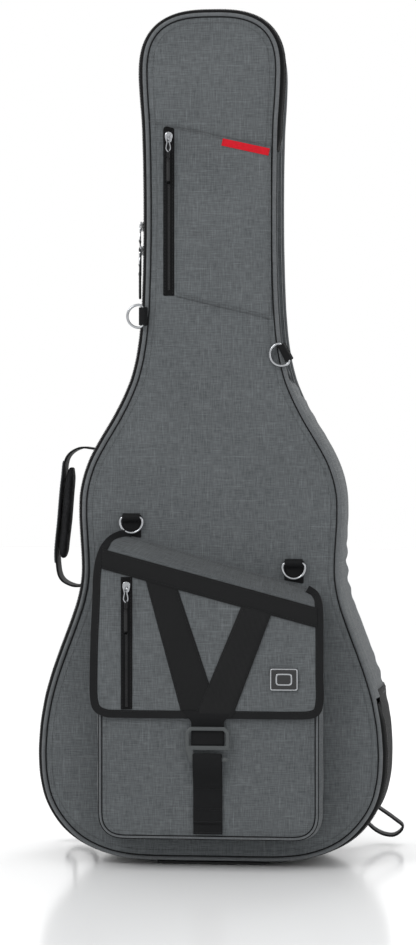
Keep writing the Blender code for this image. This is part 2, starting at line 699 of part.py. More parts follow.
def make_lid_assembly():
    fixed = make_lid()
    neck_pieces, neck_slider, neck_pull, neck_hinge = make_neck_pocket()
    tabs, rings = make_rings()
    fixed += [*neck_pieces, *tabs, *make_front_pocket(), make_closure_webbing()]
    middle = [(a + b) / 2 for a, b in zip(LID_AXIS_TOP, LID_AXIS_LOW)]
    lid = pivot("lid_hinge", (middle[0], FRONT_Y + LID_DEPTH, middle[1]), fixed)
    for name, ring, place, _ in rings:
        pivot(f"{name}_swing", place, [ring], parent=lid)
    slide = pivot("neck_pocket_slide", (-0.0558, FRONT_Y - 0.002, 0.962), [neck_slider], parent=lid)
    pivot("neck_pocket_pull_swing", neck_hinge, [neck_pull], parent=slide)
    seam = (0.0, FRONT_Y - 0.0022, fold_height(0.0) + STRIP_RISE / math.cos(SLANT))
    flap = pivot("flap_hinge", seam, [make_flap_strip()], parent=lid)
    tape, slider, pull, pull_hinge = make_flap_zip()
    hanging = [make_flap_panel(), make_flap_webbing(), tape, make_badge()]
    fold = pivot("flap_fold", (0.0, FLAP_Y - FLAP_CLOTH, fold_height(0.0) + 0.0005), hanging, parent=flap)
    slide = pivot("flap_slide", (-0.1060, FLAP_Y - FLAP_CLOTH, 0.371), [slider], parent=fold)
    pivot("flap_pull_swing", pull_hinge, [pull], parent=slide)
    pivot("hook_swing", (0.0, HOOK_Y + HOOK_DEPTH / 2, HOOK_TOP - 0.004), [make_hook()], parent=fold)


def main():
    make_back()
    make_walls()
    make_base_pad()
    make_cradle()
    make_end_pin_pad()
    make_back_pad()
    make_strap_anchors()
    make_main_sliders()
    make_side_handle()
    for side, word in ((1, "right"), (-1, "left")):
        make_shoulder_strap(side, word)
    make_lid_assembly()


main()
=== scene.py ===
"""Padded gig bag for an acoustic guitar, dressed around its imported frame.

Metres, +Z up, the bag's front faces -Y and +X is the viewer's right. Every outline that the frame already
holds is read from its nodes, so the cloth, piping, zips and straps below follow the frame exactly.
"""

import bisect
import json
import logging
import math
from collections.abc import Callable, Sequence
from dataclasses import dataclass
from enum import Enum

import bmesh
import bpy
import numpy as np
from mathutils import Matrix, Vector, noise
from mathutils.geometry import delaunay_2d_cdt
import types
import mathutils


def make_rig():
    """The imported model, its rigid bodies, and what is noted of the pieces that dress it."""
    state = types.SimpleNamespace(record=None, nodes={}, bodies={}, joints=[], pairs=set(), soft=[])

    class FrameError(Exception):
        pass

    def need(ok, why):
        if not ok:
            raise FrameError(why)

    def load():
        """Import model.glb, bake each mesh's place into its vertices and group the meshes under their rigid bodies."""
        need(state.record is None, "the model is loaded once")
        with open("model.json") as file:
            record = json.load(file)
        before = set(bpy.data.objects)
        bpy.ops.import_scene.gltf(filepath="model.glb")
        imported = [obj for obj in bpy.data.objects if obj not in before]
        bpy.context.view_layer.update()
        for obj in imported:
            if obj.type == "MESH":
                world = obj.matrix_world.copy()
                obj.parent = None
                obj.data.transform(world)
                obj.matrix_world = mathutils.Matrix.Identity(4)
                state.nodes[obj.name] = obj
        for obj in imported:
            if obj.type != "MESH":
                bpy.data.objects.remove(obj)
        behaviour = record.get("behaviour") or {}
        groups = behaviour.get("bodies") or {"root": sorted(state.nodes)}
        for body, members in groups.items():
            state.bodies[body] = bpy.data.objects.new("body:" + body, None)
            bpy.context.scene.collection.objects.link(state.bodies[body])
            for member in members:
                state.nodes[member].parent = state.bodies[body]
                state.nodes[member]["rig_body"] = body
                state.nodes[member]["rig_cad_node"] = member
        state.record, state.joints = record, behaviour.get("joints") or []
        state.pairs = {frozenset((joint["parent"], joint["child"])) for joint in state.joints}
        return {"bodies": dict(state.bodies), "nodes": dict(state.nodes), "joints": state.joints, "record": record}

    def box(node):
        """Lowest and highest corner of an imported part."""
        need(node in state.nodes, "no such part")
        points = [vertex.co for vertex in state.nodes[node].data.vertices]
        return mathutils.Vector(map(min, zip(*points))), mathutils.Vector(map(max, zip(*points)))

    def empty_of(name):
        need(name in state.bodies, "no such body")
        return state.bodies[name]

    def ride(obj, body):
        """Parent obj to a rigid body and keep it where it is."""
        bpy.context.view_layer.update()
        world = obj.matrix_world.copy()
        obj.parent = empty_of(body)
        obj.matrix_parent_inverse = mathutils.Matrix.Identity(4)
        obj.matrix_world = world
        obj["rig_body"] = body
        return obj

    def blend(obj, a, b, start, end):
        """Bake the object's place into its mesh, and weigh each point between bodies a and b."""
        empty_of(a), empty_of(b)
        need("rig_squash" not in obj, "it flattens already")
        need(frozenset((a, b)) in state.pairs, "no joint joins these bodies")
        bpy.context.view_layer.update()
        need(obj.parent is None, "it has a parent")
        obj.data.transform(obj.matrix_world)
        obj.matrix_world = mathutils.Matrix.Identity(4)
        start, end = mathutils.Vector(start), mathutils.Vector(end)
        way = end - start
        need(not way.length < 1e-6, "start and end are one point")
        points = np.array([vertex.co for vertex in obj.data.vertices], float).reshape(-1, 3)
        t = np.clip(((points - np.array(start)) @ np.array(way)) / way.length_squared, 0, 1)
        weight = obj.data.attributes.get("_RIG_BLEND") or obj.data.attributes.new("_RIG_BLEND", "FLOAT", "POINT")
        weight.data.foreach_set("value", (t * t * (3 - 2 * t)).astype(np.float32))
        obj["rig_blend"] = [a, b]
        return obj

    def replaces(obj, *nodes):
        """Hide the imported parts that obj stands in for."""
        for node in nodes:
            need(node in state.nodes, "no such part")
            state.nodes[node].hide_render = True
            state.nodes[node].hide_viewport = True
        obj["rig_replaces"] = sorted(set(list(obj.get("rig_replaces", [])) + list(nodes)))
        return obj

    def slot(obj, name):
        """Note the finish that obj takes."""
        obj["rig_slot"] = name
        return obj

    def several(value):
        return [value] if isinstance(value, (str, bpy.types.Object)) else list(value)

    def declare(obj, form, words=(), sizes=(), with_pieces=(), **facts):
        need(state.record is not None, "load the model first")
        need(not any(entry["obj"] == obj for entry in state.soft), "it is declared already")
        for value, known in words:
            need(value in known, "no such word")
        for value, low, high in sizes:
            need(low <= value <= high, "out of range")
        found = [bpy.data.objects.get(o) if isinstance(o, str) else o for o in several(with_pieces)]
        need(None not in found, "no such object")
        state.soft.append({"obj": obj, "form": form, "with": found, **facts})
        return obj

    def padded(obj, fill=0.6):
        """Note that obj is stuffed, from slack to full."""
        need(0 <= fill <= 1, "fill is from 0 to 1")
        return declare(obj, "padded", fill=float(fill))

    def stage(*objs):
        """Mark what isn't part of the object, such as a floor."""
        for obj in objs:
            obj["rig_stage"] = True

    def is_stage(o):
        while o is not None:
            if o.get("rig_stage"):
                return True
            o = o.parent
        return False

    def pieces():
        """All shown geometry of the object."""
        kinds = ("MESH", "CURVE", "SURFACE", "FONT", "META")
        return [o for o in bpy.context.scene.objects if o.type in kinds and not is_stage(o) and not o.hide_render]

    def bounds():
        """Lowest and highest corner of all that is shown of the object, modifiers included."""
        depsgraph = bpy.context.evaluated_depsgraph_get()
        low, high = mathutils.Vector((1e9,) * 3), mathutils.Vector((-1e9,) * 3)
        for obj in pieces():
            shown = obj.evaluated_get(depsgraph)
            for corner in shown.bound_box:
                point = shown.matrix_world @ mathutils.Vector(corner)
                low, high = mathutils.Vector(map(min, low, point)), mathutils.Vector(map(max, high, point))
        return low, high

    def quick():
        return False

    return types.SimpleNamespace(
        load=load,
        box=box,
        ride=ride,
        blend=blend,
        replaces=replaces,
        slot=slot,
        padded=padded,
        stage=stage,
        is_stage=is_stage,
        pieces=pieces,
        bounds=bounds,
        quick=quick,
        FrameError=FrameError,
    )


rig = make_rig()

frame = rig.load()
CAD_BOX = [list(corner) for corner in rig.bounds()]

LOG = logging.getLogger("gig_bag")
UP = Vector((0.0, 0.0, 1.0))
FORWARD = Vector((0.0, -1.0, 0.0))
BACKWARD = Vector((0.0, 1.0, 0.0))
RIGHT = Vector((1.0, 0.0, 0.0))
LEFT = Vector((-1.0, 0.0, 0.0))
CLOTH_UV = "cloth"

Point2 = tuple[float, float]
Socket = bpy.types.NodeSocket


# Numbers and curves -------------------------------------------------------------------------------


def ease(value: float) -> float:
    """Return a smooth step from 0 at value 0 to 1 at value 1."""
    value = min(max(value, 0.0), 1.0)
    return value * value * (3.0 - 2.0 * value)


def hump(value: float, middle: float, width: float) -> float:
    """Return a bell shape of height 1 at the middle that is gone about two widths away."""
    return math.exp(-(((value - middle) / width) ** 2))


def ripple(x: float, y: float, size: float, seed: float) -> float:
    """Return smooth noise between about -1 and 1 whose waves are about size metres long."""
    return noise.noise(Vector((x / size, y / size, seed)))


def smooth_path(points: Sequence[Sequence[float]], spacing: float, closed: bool = False) -> list[Vector]:
    """Run a centripetal Catmull-Rom curve through some points.

    Args:
        points: the points that the curve passes through.
        spacing: about how far apart the returned points lie.
        closed: whether the curve comes back to its first point.

    Returns:
        Points along the curve. A closed curve doesn't repeat its first point.
    """
    knots = [Vector(point) for point in points]
    if closed:
        ring = [knots[-1], *knots, knots[0], knots[1]]
    else:
        ring = [knots[0] * 2 - knots[1], *knots, knots[-1] * 2 - knots[-2]]
    path: list[Vector] = []
    for a, b, c, d in zip(ring, ring[1:], ring[2:], ring[3:]):
        steps = max(1, round((c - b).length / spacing))
        t1 = max((b - a).length, 1e-6) ** 0.5
        t2 = t1 + max((c - b).length, 1e-6) ** 0.5
        t3 = t2 + max((d - c).length, 1e-6) ** 0.5
        for step in range(steps):
            t = t1 + (t2 - t1) * step / steps
            low, mid, high = a.lerp(b, t / t1), b.lerp(
                c, (t - t1) / (t2 - t1)
            ), c.lerp(d, (t - t2) / (t3 - t2))
            low_mid, mid_high = low.lerp(mid, t / t2), mid.lerp(high, (t - t1) / (t3 - t1))
            path.append(low_mid.lerp(mid_high, (t - t1) / (t2 - t1)))
    return path if closed else [*path, knots[-1]]


def spread(start: float, end: float, spacing: float) -> list[float]:
    """Return evenly spaced numbers from start to end, about spacing apart."""
    steps = max(1, round(abs(end - start) / spacing))
    return [start + (end - start) * step / steps for step in range(steps + 1)]


def lay_path(points: Sequence[Sequence[float]], spacing: float, closed: bool = False) -> list[Vector]:
    """Return points spacing apart along straight runs between the given points."""
    corners = [Vector(point) for point in points]
    ends = corners[1:] + corners[:1] if closed else corners[1:]
    path = []
    for a, b in zip(corners, ends):
        path += [a.lerp(b, t) for t in spread(0.0, 1.0, spacing / max((b - a).length, spacing))[:-1]]
    return path if closed else [*path, corners[-1]]


def rounded_corners(corners: Sequence[Point2], radii: Sequence[float], steps: int = 6) -> list[Vector]:
    """Round the corners of a flat outline.

    Args:
        corners: the outline's corners in order.
        radii: one radius for each corner.
        steps: how many points each rounded corner gets beyond its first.

    Returns:
        The points of the rounded outline.
    """
    outline: list[Vector] = []
    count = len(corners)
    for index, radius in enumerate(radii):
        here, before, after = (Vector(corners[i % count]) for i in (index, index - 1, index + 1))
        back, on = (before - here).normalized(), (after - here).normalized()
        opening = back.angle(on)
        if radius < 1e-5:
            outline.append(here)
            continue
        reach = radius / math.tan(opening / 2)
        start, end = here + back * reach, here + on * reach
        for step in range(steps + 1):
            t = step / steps
            outline.append(start * (1 - t) ** 2 + here * 2 * t * (1 - t) + end * t * t)
    return outline


# Meshes -------------------------------------------------------------------------------------------


def mesh_object(name: str, verts: Sequence, faces: Sequence, uvs: Sequence | None = None) -> bpy.types.Object:
    """Make a mesh object at the origin.

    Args:
        name: the piece's name.
        verts: the vertex places.
        faces: tuples of vertex numbers.
        uvs: one cloth coordinate in metres for each vertex.

    Returns:
        The linked object.
    """
    mesh = bpy.data.meshes.new(name)
    mesh.from_pydata([tuple(vert) for vert in verts], [], faces)
    if uvs is not None:
        layer = mesh.uv_layers.new(name=CLOTH_UV)
        corners = np.zeros(len(mesh.loops), np.int32)
        mesh.loops.foreach_get("vertex_index", corners)
        layer.uv.foreach_set("vector", np.array([tuple(uv)[:2] for uv in uvs], np.float32)[corners].ravel())
    obj = bpy.data.objects.new(name, mesh)
    bpy.context.scene.collection.objects.link(obj)
    return obj


def close_up(obj: bpy.types.Object, weld: float = 1e-6, outward: bool = True) -> bpy.types.Object:
    """Weld doubled vertices and, on a closed shell, turn its faces outwards."""
    shape = bmesh.new()
    shape.from_mesh(obj.data)
    bmesh.ops.remove_doubles(shape, verts=shape.verts, dist=weld)
    bmesh.ops.dissolve_degenerate(shape, edges=shape.edges, dist=1e-7)
    if outward:
        bmesh.ops.recalc_face_normals(shape, faces=shape.faces)
    shape.to_mesh(obj.data)
    shape.free()
    return obj


def settle(obj: bpy.types.Object) -> bpy.types.Object:
    """Turn an object with modifiers into a plain mesh."""
    graph = bpy.context.evaluated_depsgraph_get()
    mesh = bpy.data.meshes.new_from_object(obj.evaluated_get(graph))
    obj.modifiers.clear()
    obj.data = mesh
    return obj


def join(name: str, parts: Sequence[bpy.types.Object]) -> bpy.types.Object:
    """Join several plain meshes, each with one material or none, into one object."""
    shape = bmesh.new()
    for part in parts:
        shape.from_mesh(part.data)
    mesh = bpy.data.meshes.new(name)
    shape.to_mesh(mesh)
    shape.free()
    for part in parts:
        bpy.data.objects.remove(part)
    obj = bpy.data.objects.new(name, mesh)
    bpy.context.scene.collection.objects.link(obj)
    return obj


def grid(
    name: str,
    us: Sequence[float],
    vs: Sequence[float],
    place: Callable[[float, float], Vector],
    depth: float = 1.0,
) -> bpy.types.Object:
    """Make a sheet of quads.

    Args:
        name: the piece's name.
        us: its first coordinates, in metres along the cloth.
        vs: its second coordinates.
        place: the place for a first and a second coordinate.
        depth: how many metres of cloth one unit of the second coordinate covers.

    Returns:
        The sheet, with cloth coordinates in metres.
    """
    rows = len(vs)
    verts = [place(u, v) for u in us for v in vs]
    uvs = [(u, v * depth) for u in us for v in vs]
    faces = [
        (i * rows + j, (i + 1) * rows + j, (i + 1) * rows + j + 1, i * rows + j + 1)
        for i in range(len(us) - 1)
        for j in range(rows - 1)
    ]
    return mesh_object(name, verts, faces, uvs)


def lengthwise(obj: bpy.types.Object) -> bpy.types.Object:
    """Turn a sheet's cloth coordinates a quarter turn, so that webbing ribs run across it."""
    for item in obj.data.uv_layers[0].uv:
        item.vector = item.vector.yx
    return obj


def thicken(obj: bpy.types.Object, thickness: float, offset: float = -1.0) -> bpy.types.Object:
    """Give a sheet a real thickness and turn the closed shell's faces outwards."""
    solid = obj.modifiers.new("thickness", "SOLIDIFY")
    solid.thickness = thickness
    solid.offset = offset
    solid.use_even_offset = True
    settle(obj)
    return close_up(obj)


def sweep(
    name: str,
    path: Sequence[Vector],
    section: Sequence[Point2],
    across: Vector | Callable[[int, Vector], Vector],
    closed: bool = False,
    scale: Callable[[float], float] | None = None,
) -> bpy.types.Object:
    """Carry a closed section along a path.

    Args:
        name: the piece's name.
        path: points along the middle of the piece.
        section: (across, out) places of the section's points, in order round it.
        across: the direction of the section's first axis, or a function of a point's number and tangent.
        closed: whether the path comes back to its start.
        scale: the section's size at a share from 0 to 1 of the way along.

    Returns:
        A closed mesh whose cloth coordinates run round the section and along the path.
    """
    count, sides = len(path), len(section)
    verts, uvs, faces = [], [], []
    travelled = 0.0
    girth = [0.0]
    for a, b in zip(section, [*section[1:], section[0]]):
        girth.append(girth[-1] + math.dist(a, b))
    stations = count + 1 if closed else count
    for index in range(stations):
        here = path[index % count]
        ahead = path[(index + 1) % count] if closed or index < count - 1 else here
        behind = path[index - 1] if closed or index > 0 else here
        tangent = (ahead - behind).normalized()
        side = across(index % count, tangent) if callable(across) else across
        side = (side - tangent * side.dot(tangent)).normalized()
        out = side.cross(tangent)
        if index:
            travelled += (here - path[index - 1]).length
        size = scale(index / (stations - 1)) if scale else 1.0
        for k in range(sides + 1):
            w, t = section[k % sides]
            verts.append(here + side * (w * size) + out * (t * size))
            uvs.append((girth[k], travelled))
    for i in range(stations - 1):
        for k in range(sides):
            a, b = i * (sides + 1) + k, (i + 1) * (sides + 1) + k
            faces.append((a, a + 1, b + 1, b))
    if not closed:
        faces.append(tuple(range(sides - 1, -1, -1)))
        faces.append(tuple((stations - 1) * (sides + 1) + k for k in range(sides)))
    return close_up(mesh_object(name, verts, faces, uvs))


def round_section(radius: float, sides: int = 10, squash: float = 1.0) -> list[Point2]:
    """Return the points of a round or oval section."""
    turns = [2 * math.pi * side / sides for side in range(sides)]
    return [(radius * math.cos(turn), radius * squash * math.sin(turn)) for turn in turns]


def strap_section(width: float, thickness: float) -> list[Point2]:
    """Return a flat strap's section, with soft edges and a few points across its faces."""
    half, thin = width / 2, thickness / 2
    top = [(-0.98, 0.75), (-0.93, 1.0), (-0.5, 1.0), (0.0, 1.0), (0.5, 1.0), (0.93, 1.0), (0.98, 0.75)]
    under = [(-w, -t) for w, t in top]
    return [
        (-half, 0.0),
        *[(w * half, t * thin) for w, t in top],
        (half, 0.0),
        *[(w * half, t * thin) for w, t in under],
    ]


def tube(
    name: str, path: Sequence[Vector], radius: float, closed: bool = False, sides: int = 10
) -> bpy.types.Object:
    """Make a round cord or wire along a path, without twist."""
    count = len(path)
    sides_along: list[Vector] = []
    carried = Vector((0.31, 0.77, 0.55))
    for index in range(count):
        ahead = path[(index + 1) % count] if closed or index < count - 1 else path[index]
        behind = path[index - 1] if closed or index else path[index]
        tangent = (ahead - behind).normalized()
        carried = (carried - tangent * carried.dot(tangent)).normalized()
        sides_along.append(carried.copy())
    return sweep(name, path, round_section(radius, sides), lambda i, _tangent: sides_along[i], closed)


def outline_of(node: str, towards: Vector = FORWARD) -> list[list[Vector]]:
    """Read the outlines of a frame node's face that looks one way.

    Args:
        node: the node's name.
        towards: the direction the face looks in.

    Returns:
        The face's loops as (x, z) points, the longest first.
    """
    shape = bmesh.new()
    shape.from_mesh(frame["nodes"][node].data)
    bmesh.ops.remove_doubles(shape, verts=shape.verts, dist=1e-5)
    shape.normal_update()
    chosen = {face for face in shape.faces if face.normal.dot(towards) > 0.9}
    after: dict[int, int] = {}
    for face in chosen:
        for loop in face.loops:
            if not any(other in chosen for other in loop.edge.link_faces if other is not face):
                after[loop.vert.index] = loop.link_loop_next.vert.index
    shape.verts.ensure_lookup_table()
    loops = []
    while after:
        first, here = next(iter(after.items()))
        chain = [first]
        del after[first]
        while here != first and here in after:
            chain.append(here)
            here = after.pop(here)
        loops.append([Vector((shape.verts[i].co.x, shape.verts[i].co.z)) for i in chain])
    shape.free()
    return sorted(loops, key=len, reverse=True)


def fill(outline: Sequence[Vector], spacing: float, holes: Sequence[Sequence[Vector]] = ()) -> tuple:
    """Fill a flat outline with evenly spaced points and triangles.

    Args:
        outline: the outline's points as (x, z).
        spacing: about how far apart the points lie.
        holes: outlines that stay open.

    Returns:
        The points, the triangles, each point's distance to the edge, and the edges round the outside.
    """
    rings = [[Vector(p[:2]) for p in lay_path(ring, spacing, closed=True)] for ring in (outline, *holes)]
    starts = [np.array([tuple(p) for p in ring]) for ring in rings]
    ends = [np.roll(ring, -1, axis=0) for ring in starts]
    a, b = np.concatenate(starts), np.concatenate(ends)

    def from_edge(points: np.ndarray) -> np.ndarray:
        """Return each point's distance to the nearest edge."""
        run = b - a
        found = []
        for point in points:
            t = np.clip(((point - a) * run).sum(1) / np.maximum((run * run).sum(1), 1e-12), 0, 1)
            found.append(np.sqrt((((a + run * t[:, None]) - point) ** 2).sum(1).min()))
        return np.array(found)

    def inside(points: np.ndarray) -> np.ndarray:
        """Return which points lie inside the outline and outside its holes."""
        x, y = points[:, None, 0], points[:, None, 1]
        crosses = (a[None, :, 1] > y) != (b[None, :, 1] > y)
        rise = np.where(b[:, 1] == a[:, 1], 1e-12, b[:, 1] - a[:, 1])
        at = (b[:, 0] - a[:, 0]) * (y - a[:, 1]) / rise + a[:, 0]
        return (crosses & (x < at)).sum(1) % 2 == 1

    low, high = a.min(0), a.max(0)
    across = np.arange(low[0], high[0], spacing)
    up = np.arange(low[1], high[1], spacing)
    mesh_x, mesh_y = np.meshgrid(across, up)
    inner = np.stack([mesh_x.ravel(), mesh_y.ravel()], 1)
    inner = inner[inside(inner)]
    inner = inner[from_edge(inner) > spacing * 0.55]
    coords = [Vector(p) for ring in rings for p in ring] + [Vector(p) for p in inner]
    edges, base = [], 0
    for ring in rings:
        edges += [(base + i, base + (i + 1) % len(ring)) for i in range(len(ring))]
        base += len(ring)
    points, _, triangles, *_ = delaunay_2d_cdt(coords, edges, [], 1, 1e-7)
    flat = np.array([tuple(point) for point in points])
    middles = np.array([flat[list(triangle)].mean(0) for triangle in triangles])
    triangles = [tuple(t) for t, keep in zip(triangles, inside(middles)) if keep]
    directed = {(t[i], t[(i + 1) % 3]) for t in triangles for i in range(3)}
    rim = [edge for edge in directed if edge[::-1] not in directed]
    return flat, triangles, from_edge(flat), rim


Surface = Callable[[float, float, float], Vector]


def slab(
    name: str,
    outline: Sequence[Vector],
    spacing: float,
    top: Surface,
    under: Surface,
    holes: Sequence[Sequence[Vector]] = (),
    turn: float = 0.0,
) -> bpy.types.Object:
    """Make a closed panel or cushion over a flat outline.

    Args:
        name: the piece's name.
        outline: the outline's points as (x, z).
        spacing: the size of its triangles.
        top: the upper surface's place, from x, z and the distance to the edge.
        under: the lower surface's place, from the same.
        holes: outlines that stay open.
        turn: how far the cloth's threads are turned, in radians.

    Returns:
        The closed shell.
    """
    flat, triangles, edge, rim = fill(outline, spacing, holes)
    count = len(flat)
    verts = [top(p[0], p[1], d) for p, d in zip(flat, edge)] + [
        under(p[0], p[1], d) for p, d in zip(flat, edge)
    ]
    turned = flat @ np.array([[math.cos(turn), math.sin(turn)], [-math.sin(turn), math.cos(turn)]])
    faces = list(triangles) + [tuple(count + i for i in reversed(t)) for t in triangles]
    faces += [(b, a, count + a, count + b) for a, b in rim]
    return close_up(mesh_object(name, verts, faces, list(turned) * 2))


def plane(y: float) -> Surface:
    """Return a flat surface that faces forwards or back at one y."""
    return lambda x, z, d: Vector((x, y, z))


def at_depth(points: Sequence[Sequence[float]], y: float) -> list[Vector]:
    """Return flat (x, z) points set at one y."""
    return [Vector((point[0], y, point[1])) for point in points]


def corners_of(low: Vector, high: Vector, up: int = 2) -> list[Point2]:
    """Return the corners of a box seen from the front, or from above when up is 1."""
    return [(low.x, low[up]), (high.x, low[up]), (high.x, high[up]), (low.x, high[up])]


def applied_ribbon(
    name: str,
    corners: Sequence[Point2],
    y: float,
    thickness: float,
    turn: float,
    radii: Sequence[float] | None = None,
) -> bpy.types.Object:
    """Make a flat piece of webbing that lies on a panel facing forwards, its edges slightly rolled."""
    outline = rounded_corners(corners, radii) if radii else [Vector(corner) for corner in corners]
    return slab(
        name,
        outline,
        0.004,
        lambda x, z, d: Vector((x, y - thickness * (0.55 + 0.45 * ease(d / 0.0015)), z)),
        plane(y),
        turn=turn,
    )


class Contour:
    """A closed outline in the X-Z plane, run from the middle of its base up the viewer's right side."""

    def __init__(self, points: Sequence[Vector], grow: float = 0.0, spacing: float = 0.004) -> None:
        """Resample and smooth an outline.

        Args:
            points: the outline's points as (x, z).
            grow: how far outside the points the contour runs.
            spacing: how far apart its samples lie.
        """
        ring = np.array([tuple(p) for p in points])
        x, z = ring[:, 0], ring[:, 1]
        if (x * np.roll(z, -1) - z * np.roll(x, -1)).sum() < 0:
            ring = ring[::-1]
        ring = self._resample(ring, spacing)
        start = np.argmin(np.abs(ring[:, 0]) + 10 * (ring[:, 1] - ring[:, 1].min()))
        ring = np.roll(ring, -start, axis=0)
        for _ in range(6):
            ring = ring * 0.5 + (np.roll(ring, 1, 0) + np.roll(ring, -1, 0)) * 0.25
        self.normals = self._normals(ring)
        self.ring = ring + self.normals * grow
        self.normals = self._normals(self.ring)
        steps = np.linalg.norm(np.roll(self.ring, -1, 0) - self.ring, axis=1)
        self.travel = np.concatenate([[0.0], np.cumsum(steps)])
        self.length = float(self.travel[-1])
        self.marks = self.travel.tolist()
        self.spots = np.hstack([np.vstack([part, part[:1]]) for part in (self.ring, self.normals)]).tolist()

    @staticmethod
    def _resample(ring: np.ndarray, spacing: float) -> np.ndarray:
        """Return the closed ring with evenly spaced points."""
        closed = np.vstack([ring, ring[:1]])
        travel = np.concatenate([[0.0], np.cumsum(np.linalg.norm(np.diff(closed, axis=0), axis=1))])
        at = np.linspace(0, travel[-1], round(travel[-1] / spacing), endpoint=False)
        return np.stack([np.interp(at, travel, closed[:, 0]), np.interp(at, travel, closed[:, 1])], 1)

    @staticmethod
    def _normals(ring: np.ndarray) -> np.ndarray:
        """Return the outward direction at each point of a ring that runs anticlockwise."""
        run = np.roll(ring, -2, 0) - np.roll(ring, 2, 0)
        normals = np.stack([run[:, 1], -run[:, 0]], 1)
        return normals / np.linalg.norm(normals, axis=1)[:, None]

    def at(self, distance: float, out: float = 0.0) -> Vector:
        """Return the (x, z) place at a distance along the contour and out from it."""
        distance %= self.length
        index = min(bisect.bisect_right(self.marks, distance), len(self.marks) - 1) - 1
        share = (distance - self.marks[index]) / (self.marks[index + 1] - self.marks[index])
        x, z, nx, nz = (a + (b - a) * share for a, b in zip(self.spots[index], self.spots[index + 1]))
        return Vector((x + nx * out, z + nz * out))

    def normal(self, distance: float) -> Vector:
        """Return the outward direction in the X-Z plane at a distance along the contour."""
        here, there = self.at(distance), self.at(distance, 1.0)
        return (there - here).normalized()

    def reach(self, height: float, right: bool) -> float:
        """Return the distance along the contour at which it passes a height on one side."""
        half = int(np.argmax(self.ring[:, 1]))
        if right:
            return float(np.interp(height, self.ring[: half + 1, 1], self.travel[: half + 1]))
        heights = self.ring[half:, 1][::-1]
        return float(np.interp(height, heights, self.travel[half:-1][::-1]))

    def loop(self, out: float, spacing: float = 0.006) -> list[Vector]:
        """Return the whole contour moved outwards, as (x, z) points."""
        return [self.at(distance, out) for distance in spread(0.0, self.length, spacing)[:-1]]


BAG = Contour(outline_of("lid_cloth")[0], grow=0.0053)


def back_line() -> tuple[float, float]:
    """Return the leaning back's y at height 0, and how much y grows for each metre of height."""
    low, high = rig.box("back_cloth")
    top_y = max(
        vertex.co.y for vertex in frame["nodes"]["back_cloth"].data.vertices if vertex.co.z > high.z - 0.01
    )
    slope = (top_y - high.y) / (high.z - low.z)
    return high.y - slope * low.z, slope


BACK_AT_BASE, BACK_SLOPE = back_line()


def rear_y(height: float) -> float:
    """Return the y of the back's outer face at a height."""
    return BACK_AT_BASE + BACK_SLOPE * height


# Finishes -----------------------------------------------------------------------------------------


def wire(
    tree: bpy.types.NodeTree, kind: str, inputs: dict | None = None, **settings: object
) -> bpy.types.Node:
    """Add a node.

    Args:
        tree: the tree that gets the node.
        kind: the node's type name.
        inputs: for each input's name or number, a value to set or a socket to link from.
        settings: properties of the node.

    Returns:
        The node.
    """
    node = tree.nodes.new(kind)
    for name, value in settings.items():
        setattr(node, name, value)
    for key, value in (inputs or {}).items():
        if isinstance(value, bpy.types.NodeSocket):
            tree.links.new(value, node.inputs[key])
        else:
            node.inputs[key].default_value = value
    return node


def sums(tree: bpy.types.NodeTree, operation: str, *values: Socket | float) -> Socket:
    """Add a Math node and return its output."""
    return wire(tree, "ShaderNodeMath", dict(enumerate(values)), operation=operation).outputs[0]


def shader_group(
    name: str, inputs: dict[str, object], outputs: Sequence[str], build: Callable[
        [bpy.types.NodeTree, dict], dict
    ]
) -> bpy.types.NodeTree:
    """Make a shader node group, or return it if it is already there.

    Args:
        name: the group's name.
        inputs: each input's default value. None makes a vector input.
        outputs: the names of its value outputs.
        build: fills the tree, given its input sockets, and returns the socket for each output.

    Returns:
        The group.
    """
    if name in bpy.data.node_groups:
        return bpy.data.node_groups[name]
    tree = bpy.data.node_groups.new(name, "ShaderNodeTree")
    for key, default in inputs.items():
        kind = "NodeSocketVector" if default is None else "NodeSocketFloat"
        socket = tree.interface.new_socket(name=key, in_out="INPUT", socket_type=kind)
        if default is not None:
            socket.default_value = default
    for key in outputs:
        tree.interface.new_socket(name=key, in_out="OUTPUT", socket_type="NodeSocketFloat")
    entry, leave = tree.nodes.new("NodeGroupInput"), tree.nodes.new("NodeGroupOutput")
    for key, socket in build(tree, entry.outputs).items():
        tree.links.new(socket, leave.inputs[key])
    return tree


def stretched_noise(
    tree: bpy.types.NodeTree, vector: Socket, scale: Sequence[float], detail: float
) -> Socket:
    """Return noise that is drawn out along the axis with the smaller scale."""
    mapped = wire(tree, "ShaderNodeMapping", {"Vector": vector, "Scale": scale})
    node = wire(tree, "ShaderNodeTexNoise", {"Vector": mapped.outputs[0], "Scale": 1.0, "Detail": detail})
    return node.outputs["Fac"]


